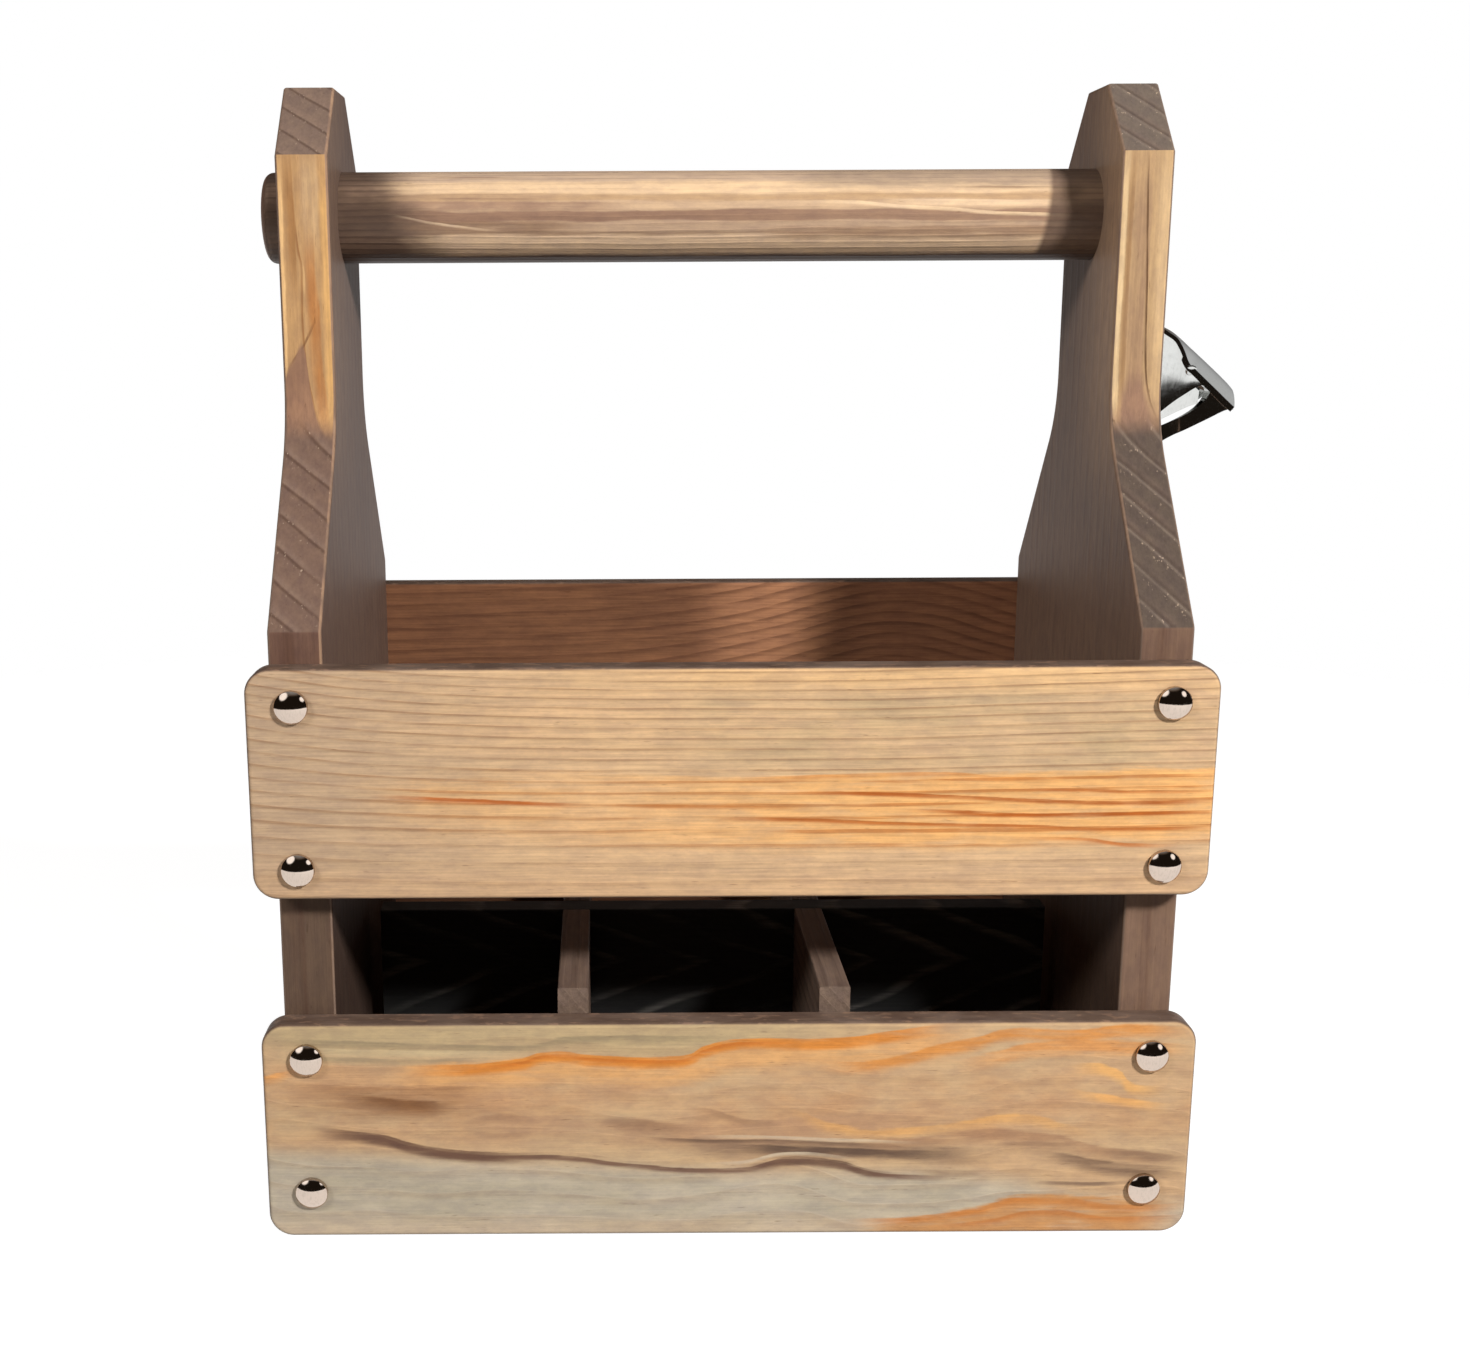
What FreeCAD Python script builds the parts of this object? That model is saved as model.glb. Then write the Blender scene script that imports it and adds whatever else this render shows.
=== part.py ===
import FreeCAD, Part
import math
import os
import re

import Sketcher

# Bottle caddy: two pine end boards joined by slats, a base and a carrying dowel,
# with a lift-out divider grid and a wall-type bottle opener on the right end board.
# The origin is the centre of the base's underside, +Z is up and -Y is the front.

SIZES = (
    ("slat_overhang", 6, "length of slat past each end board"),
    ("slat_height", 74, "height of each slat"),
    ("slat_gap", 42, "gap between the lower and the upper slat"),
    ("slat_thickness", 10, "thickness of each slat"),
    ("slat_corner_radius", 8, "rounding of a slat's corners"),
    ("slat_edge_radius", 1.5, "easing of a slat's edges"),
    ("outer_width", 288, "width over the two end boards"),
    ("board_thickness", 17, "thickness of an end board"),
    ("board_depth", 162, "depth of an end board, front to back"),
    ("board_height", 369, "height of an end board"),
    ("board_edge_radius", 1.2, "easing of an end board's edges"),
    ("shoulder_rise", 10, "height of the shoulders' start over the upper slat"),
    ("shoulder_radius", 3, "rounding of the shoulder corner"),
    ("neck_width", 67, "width of the neck"),
    ("neck_rise", 60, "height from the shoulders' start to where their line meets the neck line"),
    ("neck_radius", 40, "hollow rounding between shoulder and neck"),
    ("top_width", 23, "width of the flat on top of the neck"),
    ("top_chamfer_height", 23, "height of the sloping corners on top of the neck"),
    ("dowel_diameter", 30, "diameter of the carrying dowel"),
    ("dowel_drop", 41, "depth of the dowel's axis under the top of an end board"),
    ("dowel_left_overhang", 9, "length of dowel outside the left end board"),
    ("dowel_right_overhang", 4, "length of dowel outside the right end board"),
    ("dowel_end_radius", 3, "rounding of the dowel's ends"),
    ("glue_gap", 0.1, "glue line round the dowel"),
    ("panel_thickness", 9, "thickness of the base panel"),
    ("panel_gap", 0.1, "clearance round the base panel"),
    ("divider_thickness", 10, "thickness of the dividers"),
    ("divider_height", 73, "height of the dividers"),
    ("divider_edge_radius", 0.6, "easing of the dividers' long edges"),
    ("middle_cell_width", 75, "clear width between the cross dividers"),
    ("grid_offset", -7.5, "sideways place of the cross dividers' middle"),
    ("grid_gap", 0.5, "clearance between the cross dividers and the slats"),
    ("long_divider_gap", 5, "clearance between the long divider and an end board"),
    ("lap_gap", 0.15, "clearance in the dividers' half laps"),
    ("nail_head_diameter", 10.5, "diameter of a dome nail's head"),
    ("nail_head_height", 3.6, "height of a dome nail's head"),
    ("nail_shank_diameter", 1.8, "diameter of a dome nail's shank"),
    ("nail_length", 24, "length of a dome nail under its head"),
    ("nail_inset", 11.7, "distance of an upper nail from the slat's top edge"),
    ("lower_nail_inset", 16, "distance of a lower nail from the lower slat's bottom edge"),
    ("upper_nail_inset", 10, "distance of a lower nail from the upper slat's bottom edge"),
    ("pilot_gap", 0.05, "clearance round a nail, brad or screw"),
    ("pilot_extra_depth", 0.5, "depth of a pilot hole past its point"),
    ("point_length", 2, "length of the point of a nail, brad or screw"),
    ("brad_diameter", 1.6, "diameter of a brad"),
    ("brad_head_diameter", 2.6, "diameter of a brad's head"),
    ("brad_head_thickness", 1, "thickness of a brad's head"),
    ("brad_length", 40, "length of a brad"),
    ("brad_spacing", 50, "distance between the brads of one end board"),
    ("opener_gap", 5, "distance between the dowel and the opener's plate"),
    ("opener_width", 37, "width of the opener's plate and hood"),
    ("opener_plate_thickness", 3, "thickness of the opener's plate"),
    ("opener_plate_radius", 9, "rounding of the plate's corners"),
    ("opener_screw_margin", 16, "height of plate above the hood and below the arms"),
    ("hood_rise", 20, "height of the hood's root over the opener's centre"),
    ("brow_reach", 8.9, "reach of the hood's brow"),
    ("brow_rise", 14.9, "height of the hood's brow over the opener's centre"),
    ("hood_reach", 19, "reach of the shield's crown where the shield leaves the hood"),
    ("hood_front_rise", 11.3, "height of the shield's crown there, over the opener's centre"),
    ("hood_wall", 3, "wall thickness of the hood's cheeks and arms"),
    ("mouth_wall", 8, "thickness of the lip behind the shield's crown"),
    ("mouth_rise", 7, "height of the mouth's roof over the opener's centre"),
    ("shield_slope", 41, "slope of the shield in degrees"),
    ("shield_length", 20.7, "length of the shield down its slope"),
    ("shield_tail", 8, "length of the shield's crown that runs into the hood"),
    ("shield_sag", 7.6, "drop from the shield's crown to its side edges"),
    ("shield_thickness", 1.9, "thickness of the shield's side edges"),
    ("shield_overhang", 1.5, "shield past each side of the hood"),
    ("arm_drop", 23.5, "depth of the arms' root under the opener's centre"),
    ("arm_height", 5.9, "height of an arm"),
    ("window_gap", 14.2, "distance of the window's end behind the tip"),
    ("window_height", 6, "height of the window's front end"),
    ("window_radius", 1.8, "rounding of the window's front end"),
    ("screw_diameter", 3.5, "diameter of an opener screw"),
    ("screw_head_diameter", 7, "diameter of an opener screw's head"),
    ("screw_length", 15, "length of an opener screw"),
    ("screw_recess_width", 1, "width of the cross recess"),
    ("screw_recess_span", 4, "span of the cross recess"),
    ("screw_recess_depth", 1.3, "depth of the cross recess"),
)

SIDES = (("left", -1), ("right", 1))
FACES = (("front", -1), ("back", 1))
CLOSE = 0.01

doc = FreeCAD.newDocument("bottle_caddy")
sheet = doc.addObject("Spreadsheet::Sheet", "Sizes")
for row, (alias, value, meaning) in enumerate(SIZES, start=1):
    sheet.set(f"A{row}", meaning)
    sheet.set(f"B{row}", str(value))
    sheet.setAlias(f"B{row}", alias)
doc.recompute()

ALIASES = {alias for alias, value, meaning in SIZES}
SLAT_LENGTH = "(outer_width + 2 * slat_overhang)"
SHOULDER_HEIGHT = "(2 * slat_height + slat_gap + shoulder_rise)"
NECK_HEIGHT = f"({SHOULDER_HEIGHT} + neck_rise)"
DOWEL_HEIGHT = "(board_height - dowel_drop)"
OUTER_FACE = "outer_width / 2"
INNER_FACE = "(outer_width / 2 - board_thickness)"
LOWER_SLAT_MIDDLE = "slat_height / 2"
UPPER_SLAT_MIDDLE = "(slat_height * 1.5 + slat_gap)"
NAIL_PLACE = "(outer_width / 2 - board_thickness / 2)"
NAIL_RISES = {
    level: (f"-(slat_height / 2 - {level}_nail_inset)", "(slat_height / 2 - nail_inset)")
    for level in ("lower", "upper")
}
PILOT = "(nail_shank_diameter + 2 * pilot_gap)"
DIVIDER_PLACE = "(middle_cell_width / 2 + divider_thickness / 2)"
HALF_SLOT = "(divider_thickness / 2 + lap_gap)"
OPENER_TOP = f"({DOWEL_HEIGHT} - dowel_diameter / 2 - opener_gap)"
OPENER_HEIGHT = f"({OPENER_TOP} - opener_screw_margin - hood_rise)"
UPPER_SCREW = "(hood_rise + opener_screw_margin / 2)"
LOWER_SCREW = "-(arm_drop + opener_screw_margin / 2)"
SHIELD_HALF = "(opener_width / 2 + shield_overhang)"
SHIELD_RADIUS = f"({SHIELD_HALF} * {SHIELD_HALF} + shield_sag * shield_sag) / (2 * shield_sag)"


def size(alias):
    """Return one driving dimension."""
    return float(sheet.get(alias))


def formula(text):
    """Point the size names in a formula at the sheet."""
    return re.sub(r"[a-z_]+", lambda word: ("Sizes." if word[0] in ALIASES else "") + word[0], str(text))


def bind(thing, prop, text):
    """Tie one property to a formula of driving dimensions."""
    thing.setExpression(prop, formula(text))


def new_body(label):
    """Start a piece."""
    body = doc.addObject("PartDesign::Body", label)
    body.Label = label
    return body


def place(body, across="0", depth="0", height="0", turn=0):
    """Put a finished piece in the caddy, turned about the upright axis."""
    upright = FreeCAD.Rotation(FreeCAD.Vector(0, 0, 1), turn)
    body.Placement = FreeCAD.Placement(FreeCAD.Vector(0, 0, 0), upright)
    for axis, text in zip("xyz", (across, depth, height)):
        bind(body, f"Placement.Base.{axis}", text)
    doc.recompute()
    return body


def new_sketch(body, plane, name, lift="0", up="0"):
    """Open a sketch on one of the piece's own planes, lifted along its normal and moved up in it."""
    sketch = body.newObject("Sketcher::SketchObject", name)
    support = next(item for item in body.Origin.OriginFeatures if item.Role == plane)
    sketch.AttachmentSupport = (support, [""])
    sketch.MapMode = "FlatFace"
    bind(sketch, "AttachmentOffset.Base.y", up)
    bind(sketch, "AttachmentOffset.Base.z", lift)
    return sketch


def pin_point(sketch, curve, end, across, up):
    """Fix one point of a sketch by its distances from the sketch's origin."""
    here = sketch.getPoint(curve, end)
    for kind, start, text in (("DistanceX", here.x, across), ("DistanceY", here.y, up)):
        number = sketch.addConstraint(Sketcher.Constraint(kind, -1, 1, curve, end, start))
        bind(sketch, f"Constraints[{number}]", text)


def draw_outline(sketch, corners):
    """Draw a closed outline of straight lines through the given corners."""
    count = len(corners)
    turns = [2 * math.pi * index / count for index in range(count)]
    seeds = [FreeCAD.Vector(math.cos(turn), math.sin(turn), 0) for turn in turns]
    first = sketch.GeometryCount
    for index in range(count):
        sketch.addGeometry(Part.LineSegment(seeds[index], seeds[(index + 1) % count]), False)
    for index, (across, up) in enumerate(corners):
        following = first + (index + 1) % count
        sketch.addConstraint(Sketcher.Constraint("Coincident", first + index, 2, following, 1))
        pin_point(sketch, first + index, 1, across, up)
    return sketch


def draw_circles(sketch, circles):
    """Draw circles given by centre and diameter."""
    for across, up, diameter in circles:
        seed = Part.Circle(FreeCAD.Vector(1, 1, 0), FreeCAD.Vector(0, 0, 1), 1)
        curve = sketch.addGeometry(seed, False)
        pin_point(sketch, curve, 3, across, up)
        number = sketch.addConstraint(Sketcher.Constraint("Diameter", curve, 2.0))
        bind(sketch, f"Constraints[{number}]", diameter)
    return sketch


def rectangle(width, height):
    """Return the corners of a rectangle about the origin."""
    signs = ((-1, -1), (1, -1), (1, 1), (-1, 1))
    return [(f"{a} * ({width}) / 2", f"{b} * ({height}) / 2") for a, b in signs]


def upright(half_width, bottom, top, middle="0"):
    """Return the corners of an upright rectangle between two heights."""
    left = f"{middle} - {half_width}"
    right = f"{middle} + {half_width}"
    return [(left, bottom), (right, bottom), (right, top), (left, top)]


def pad(body, sketch, length, both_ways=False):
    """Raise a sketch into a solid."""
    feature = body.newObject("PartDesign::Pad", sketch.Name + "_pad")
    feature.Profile = sketch
    feature.SideType = "Symmetric" if both_ways else "One side"
    bind(feature, "Length", length)
    doc.recompute()
    return feature


def pocket(body, sketch, length=None, backwards=False, both_ways=False):
    """Cut a sketch into a piece: a cut of a length, or right through both ways."""
    before = body.Shape.Volume
    feature = body.newObject("PartDesign::Pocket", sketch.Name + "_pocket")
    feature.Profile = sketch
    feature.Reversed = backwards
    if length is None:
        feature.SideType = "Symmetric"
        feature.Type = "ThroughAll"
    else:
        feature.SideType = "Symmetric" if both_ways else "One side"
        bind(feature, "Length", length)
    doc.recompute()
    if body.Shape.Volume >= before:
        raise RuntimeError(f"{feature.Name} cuts nothing")
    return feature


def revolve(body, sketch, axis, kind="Revolution"):
    """Turn a sketch about one of its own axes, as a solid or as a groove."""
    feature = body.newObject(f"PartDesign::{kind}", sketch.Name + "_turned")
    feature.Profile = sketch
    feature.ReferenceAxis = (sketch, [axis])
    feature.Angle = 360
    doc.recompute()
    return feature


def round_off(body, radius, kind, chosen):
    """Round the chosen edges of a piece, or all edges of its chosen faces."""
    base = body.Tip
    items = getattr(base.Shape, kind + "s")
    names = [f"{kind}{number}" for number, item in enumerate(items, start=1) if chosen(item)]
    feature = body.newObject("PartDesign::Fillet", f"{body.Name}_rounding")
    feature.Base = (base, names)
    bind(feature, "Radius", radius)
    doc.recompute()
    return feature


def flat_across(axis):
    """Return a test for flat faces square to an axis (0 for X, 1 for Y, 2 for Z)."""
    def test(face):
        if not isinstance(face.Surface, Part.Plane):
            return False
        return abs(abs(face.Surface.Axis[axis]) - 1) < CLOSE
    return test


def edges_from(sketch, axis, corners):
    """Return a test for straight edges along an axis that start from the numbered corners of a sketch."""
    points = [sketch.getPoint(corner, 1) for corner in corners]
    def test(edge):
        if not isinstance(edge.Curve, Part.Line):
            return False
        if abs(abs(edge.Curve.Direction[axis]) - 1) > CLOSE:
            return False
        middle = edge.CenterOfMass
        across, up = [middle[index] for index in range(3) if index != axis]
        return any(abs(across - point.x) < CLOSE and abs(up - point.y) < CLOSE for point in points)
    return test


def end_board(label, side):
    """An upright end board with shoulders, a neck and every hole that it needs."""
    body = new_body(f"end_board_{label}")
    half_outline = {
        "foot": ("board_depth / 2", "0"),
        "shoulder": ("board_depth / 2", SHOULDER_HEIGHT),
        "neck": ("neck_width / 2", NECK_HEIGHT),
        "neck_top": ("neck_width / 2", "board_height - top_chamfer_height"),
        "top": ("top_width / 2", "board_height"),
    }
    names = [*half_outline, *reversed(half_outline)]
    mirrored = [(f"-({across})", up) for across, up in reversed(half_outline.values())]
    outline = [*half_outline.values(), *mirrored]
    profile = draw_outline(new_sketch(body, "YZ_Plane", f"board_{label}"), outline)
    pad(body, profile, "board_thickness")
    for corner in ("neck", "shoulder"):
        numbers = [number for number, name in enumerate(names) if name == corner]
        round_off(body, f"{corner}_radius", "Edge", edges_from(profile, 0, numbers))
    round_off(body, "board_edge_radius", "Face", flat_across(0))

    dowel_hole = [("0", DOWEL_HEIGHT, "dowel_diameter + 2 * glue_gap")]
    pocket(body, draw_circles(new_sketch(body, "YZ_Plane", f"dowel_hole_{label}"), dowel_hole))
    brad_centres = [(f"{step} * brad_spacing", "panel_thickness / 2") for step in (-1, 0, 1)]
    brad_holes = [(*centre, "brad_diameter + 2 * pilot_gap") for centre in brad_centres]
    pocket(body, draw_circles(new_sketch(body, "YZ_Plane", f"brad_holes_{label}"), brad_holes))
    head_holes = [(*centre, "brad_head_diameter + 2 * pilot_gap") for centre in brad_centres]
    outside = "board_thickness" if side > 0 else "0"
    head_sketch = new_sketch(body, "YZ_Plane", f"brad_heads_{label}", outside)
    pocket(body, draw_circles(head_sketch, head_holes), "brad_head_thickness", side < 0)

    nail_heights = nail_levels()
    nail_holes = [("board_thickness / 2", height, PILOT) for height in nail_heights.values()]
    for face, toward in FACES:
        sketch = new_sketch(body, "XZ_Plane", f"nail_holes_{face}_{label}", f"{-toward} * board_depth / 2")
        depth = "nail_length - slat_thickness + pilot_extra_depth"
        pocket(body, draw_circles(sketch, nail_holes), depth, toward > 0)

    if side > 0:
        screw_heights = (f"{OPENER_HEIGHT} + {UPPER_SCREW}", f"{OPENER_HEIGHT} + {LOWER_SCREW}")
        screw_holes = [("0", height, "screw_diameter + 2 * pilot_gap") for height in screw_heights]
        sketch = new_sketch(body, "YZ_Plane", "opener_screw_holes", "board_thickness")
        depth = "screw_length - opener_plate_thickness + pilot_extra_depth"
        pocket(body, draw_circles(sketch, screw_holes), depth)
    return place(body, OUTER_FACE + " - board_thickness" if side > 0 else "-" + OUTER_FACE)


def nail_levels():
    """Return each nail row's name and height."""
    rows = {}
    for slat, middle in (("lower", LOWER_SLAT_MIDDLE), ("upper", UPPER_SLAT_MIDDLE)):
        for row, rise in zip(("bottom", "top"), NAIL_RISES[slat]):
            rows[f"{slat}_{row}"] = f"{middle} + {rise}"
    return rows


def handle_dowel():
    """The round carrying handle, through both end boards."""
    body = new_body("handle_dowel")
    section = draw_circles(new_sketch(body, "YZ_Plane", "dowel_section"), [("0", "0", "dowel_diameter")])
    pad(body, section, "outer_width + dowel_left_overhang + dowel_right_overhang", both_ways=True)
    round_off(body, "dowel_end_radius", "Face", flat_across(0))
    return place(body, "(dowel_right_overhang - dowel_left_overhang) / 2", height=DOWEL_HEIGHT)


def slat(face, toward, level, middle):
    """One slat with rounded corners, eased edges and four nail holes."""
    body = new_body(f"{face}_{level}_slat")
    sketch = new_sketch(body, "XZ_Plane", f"slat_{face}_{level}")
    pad(body, draw_outline(sketch, rectangle(SLAT_LENGTH, "slat_height")), "slat_thickness")
    round_off(body, "slat_corner_radius", "Edge", edges_from(sketch, 1, range(sketch.GeometryCount)))
    round_off(body, "slat_edge_radius", "Face", flat_across(1))
    holes = [(f"{a} * {NAIL_PLACE}", rise, PILOT) for a in (-1, 1) for rise in NAIL_RISES[level]]
    pocket(body, draw_circles(new_sketch(body, "XZ_Plane", f"slat_nail_holes_{face}_{level}"), holes))
    return place(body, depth=f"{toward} * board_depth / 2", height=middle, turn=0 if toward < 0 else 180)


def bottom_panel():
    """The base between the end boards and the slats, with the brads' pilot holes."""
    body = new_body("bottom_panel")
    width = f"2 * {INNER_FACE} - 2 * panel_gap"
    sketch = new_sketch(body, "XY_Plane", "panel_outline")
    pad(body, draw_outline(sketch, rectangle(width, "board_depth - 2 * panel_gap")), "panel_thickness")
    hole = "brad_diameter + 2 * pilot_gap"
    holes = [(f"{step} * brad_spacing", "panel_thickness / 2", hole) for step in (-1, 0, 1)]
    depth = "brad_length - board_thickness + pilot_extra_depth"
    for side, toward in SIDES:
        sketch = new_sketch(body, "YZ_Plane", f"panel_holes_{side}", f"{toward} * ({width}) / 2")
        pocket(body, draw_circles(sketch, holes), depth, toward < 0)
    return place(body)


def cross_divider(label, side):
    """A divider from front to back, slotted from above for the long divider."""
    body = new_body(f"cross_divider_{label}")
    outline = upright("(board_depth / 2 - grid_gap)", "0", "divider_height")
    sketch = draw_outline(new_sketch(body, "YZ_Plane", f"cross_{label}"), outline)
    pad(body, sketch, "divider_thickness", both_ways=True)
    ease_divider(body)
    slot = upright(HALF_SLOT, "divider_height / 2", "2 * divider_height")
    pocket(body, draw_outline(new_sketch(body, "YZ_Plane", f"cross_slot_{label}"), slot))
    return place(body, f"grid_offset + {side} * {DIVIDER_PLACE}", height="panel_thickness")


def long_divider():
    """The divider along the caddy, slotted from below over the cross dividers."""
    body = new_body("long_divider")
    outline = upright(f"({INNER_FACE} - long_divider_gap)", "0", "divider_height")
    sketch = draw_outline(new_sketch(body, "XZ_Plane", "long_outline"), outline)
    pad(body, sketch, "divider_thickness", both_ways=True)
    ease_divider(body)
    for label, side in SIDES:
        middle = f"grid_offset + {side} * {DIVIDER_PLACE}"
        slot = upright(HALF_SLOT, "-divider_height", "divider_height / 2", middle)
        pocket(body, draw_outline(new_sketch(body, "XZ_Plane", f"long_slot_{label}"), slot))
    return place(body, height="panel_thickness")


def ease_divider(body):
    """Ease the two long top edges of a divider."""
    top = size("divider_height")
    half = size("divider_thickness") / 2
    def top_edge(edge):
        middle = edge.CenterOfMass
        sideways = min(abs(abs(middle.x) - half), abs(abs(middle.y) - half))
        return abs(middle.z - top) < CLOSE and sideways < CLOSE
    round_off(body, "divider_edge_radius", "Edge", top_edge)


def dome_nail(label, side, face, toward, level, height):
    """A dome-headed nail whose head rests on its slat."""
    body = new_body(f"nail_{face}_{label}_{level}")
    sketch = new_sketch(body, "XY_Plane", f"nail_profile_{face}_{label}_{level}")
    corners = (
        ("nail_head_diameter / 2", "0"),
        ("nail_shank_diameter / 2", "0"),
        ("nail_shank_diameter / 2", "nail_length - point_length"),
        ("0", "nail_length"),
        ("0", "-nail_head_height"),
    )
    draw_dome(sketch, corners)
    revolve(body, sketch, "V_Axis")
    depth = f"{toward} * (board_depth / 2 + slat_thickness)"
    return place(body, f"{side} * {NAIL_PLACE}", depth, height, 0 if toward < 0 else 180)


def draw_dome(sketch, corners):
    """Draw the open outline through the corners and close it with the dome's arc about the axis."""
    rim = size("nail_head_diameter") / 2
    rise = size("nail_head_height")
    radius = (rim ** 2 + rise ** 2) / (2 * rise)
    centre = FreeCAD.Vector(0, radius - rise, 0)
    rim_angle = math.atan2(-centre.y, rim)
    dome = Part.ArcOfCircle(Part.Circle(centre, FreeCAD.Vector(0, 0, 1), radius), -math.pi / 2, rim_angle)
    seeds = [FreeCAD.Vector(math.cos(step), math.sin(step), 0) for step in range(len(corners))]
    last = len(corners) - 1
    for index in range(last):
        sketch.addGeometry(Part.LineSegment(seeds[index], seeds[index + 1]), False)
        pin_point(sketch, index, 1, *corners[index])
    for index in range(last - 1):
        sketch.addConstraint(Sketcher.Constraint("Coincident", index, 2, index + 1, 1))
    pin_point(sketch, last - 1, 2, *corners[last])
    doc.recompute()
    arc = sketch.addGeometry(dome, False)
    sketch.addConstraint(Sketcher.Constraint("Coincident", arc, 1, last - 1, 2))
    sketch.addConstraint(Sketcher.Constraint("Coincident", arc, 2, 0, 1))
    sketch.addConstraint(Sketcher.Constraint("PointOnObject", arc, 3, -2))


def base_brad(label, side, name, step):
    """A brad through an end board into the base, its head flush with the board."""
    body = new_body(f"base_brad_{label}_{name}")
    profile = (
        ("0", "0"),
        ("0", "brad_head_diameter / 2"),
        ("brad_head_thickness", "brad_head_diameter / 2"),
        ("brad_head_thickness", "brad_diameter / 2"),
        ("brad_length - point_length", "brad_diameter / 2"),
        ("brad_length", "0"),
    )
    revolve(body, draw_outline(new_sketch(body, "XZ_Plane", f"brad_{label}_{name}"), profile), "H_Axis")
    turn = 180 if side > 0 else 0
    return place(body, f"{side} * {OUTER_FACE}", f"{step} * brad_spacing", "panel_thickness / 2", turn)


def opener_screw(label, height):
    """A countersunk wood screw with a cross recess, flush with the opener's plate."""
    body = new_body(f"opener_screw_{label}")
    cone = "(screw_head_diameter - screw_diameter) / 2"
    profile = (
        ("0", "0"),
        ("0", "screw_head_diameter / 2"),
        (cone, "screw_diameter / 2"),
        ("screw_length - point_length", "screw_diameter / 2"),
        ("screw_length", "0"),
    )
    revolve(body, draw_outline(new_sketch(body, "XZ_Plane", f"screw_{label}"), profile), "H_Axis")
    for turn, (wide, high) in enumerate((("span", "width"), ("width", "span"))):
        sketch = new_sketch(body, "YZ_Plane", f"screw_recess_{label}_{turn}")
        draw_outline(sketch, rectangle(f"screw_recess_{wide}", f"screw_recess_{high}"))
        pocket(body, sketch, "screw_recess_depth", backwards=True)
    return place(body, f"{OUTER_FACE} + opener_plate_thickness", "0", f"{OPENER_HEIGHT} + {height}", 180)


def lean(sketch):
    """Lean a sketch on the YZ plane square to the shield's slope, at the upper end of the shield's tail."""
    tilt = FreeCAD.Rotation(FreeCAD.Vector(1, 0, 0), size("shield_slope"))
    sketch.AttachmentOffset = FreeCAD.Placement(FreeCAD.Vector(0, 0, 0), tilt)
    bind(sketch, "AttachmentOffset.Rotation.Angle", "shield_slope")
    bind(sketch, "AttachmentOffset.Base.y", "hood_front_rise + shield_tail * sin(shield_slope)")
    bind(sketch, "AttachmentOffset.Base.z", "hood_reach - shield_tail * cos(shield_slope)")
    return sketch


def draw_crown(sketch):
    """Draw the shield's section: a crowned back over a flat underside, its crown at the sketch's origin."""
    half = size("opener_width") / 2 + size("shield_overhang")
    sag = size("shield_sag")
    radius = (half ** 2 + sag ** 2) / (2 * sag)
    half_angle = math.asin(half / radius)
    circle = Part.Circle(FreeCAD.Vector(0, -radius, 0), FreeCAD.Vector(0, 0, 1), radius)
    back = Part.ArcOfCircle(circle, math.pi / 2 - half_angle, math.pi / 2 + half_angle)
    arc = sketch.addGeometry(back, False)
    number = sketch.addConstraint(Sketcher.Constraint("Radius", arc, radius))
    bind(sketch, f"Constraints[{number}]", SHIELD_RADIUS)
    drop = FreeCAD.Vector(0, -size("shield_thickness"), 0)
    right, left = sketch.getPoint(arc, 1), sketch.getPoint(arc, 2)
    corners = (right, right + drop, left + drop, left)
    sides = [sketch.addGeometry(Part.LineSegment(*ends), False) for ends in zip(corners, corners[1:])]
    meetings = (((arc, 1), (sides[0], 1)), ((sides[0], 2), (sides[1], 1)),
                ((sides[1], 2), (sides[2], 1)), ((sides[2], 2), (arc, 2)))
    for first, second in meetings:
        sketch.addConstraint(Sketcher.Constraint("Coincident", *first, *second))
    for curve, height in ((arc, "-shield_sag"), (sides[1], "-(shield_sag + shield_thickness)")):
        pin_point(sketch, curve, 1, SHIELD_HALF, height)
        pin_point(sketch, curve, 2, f"-{SHIELD_HALF}", height)
    return sketch


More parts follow.
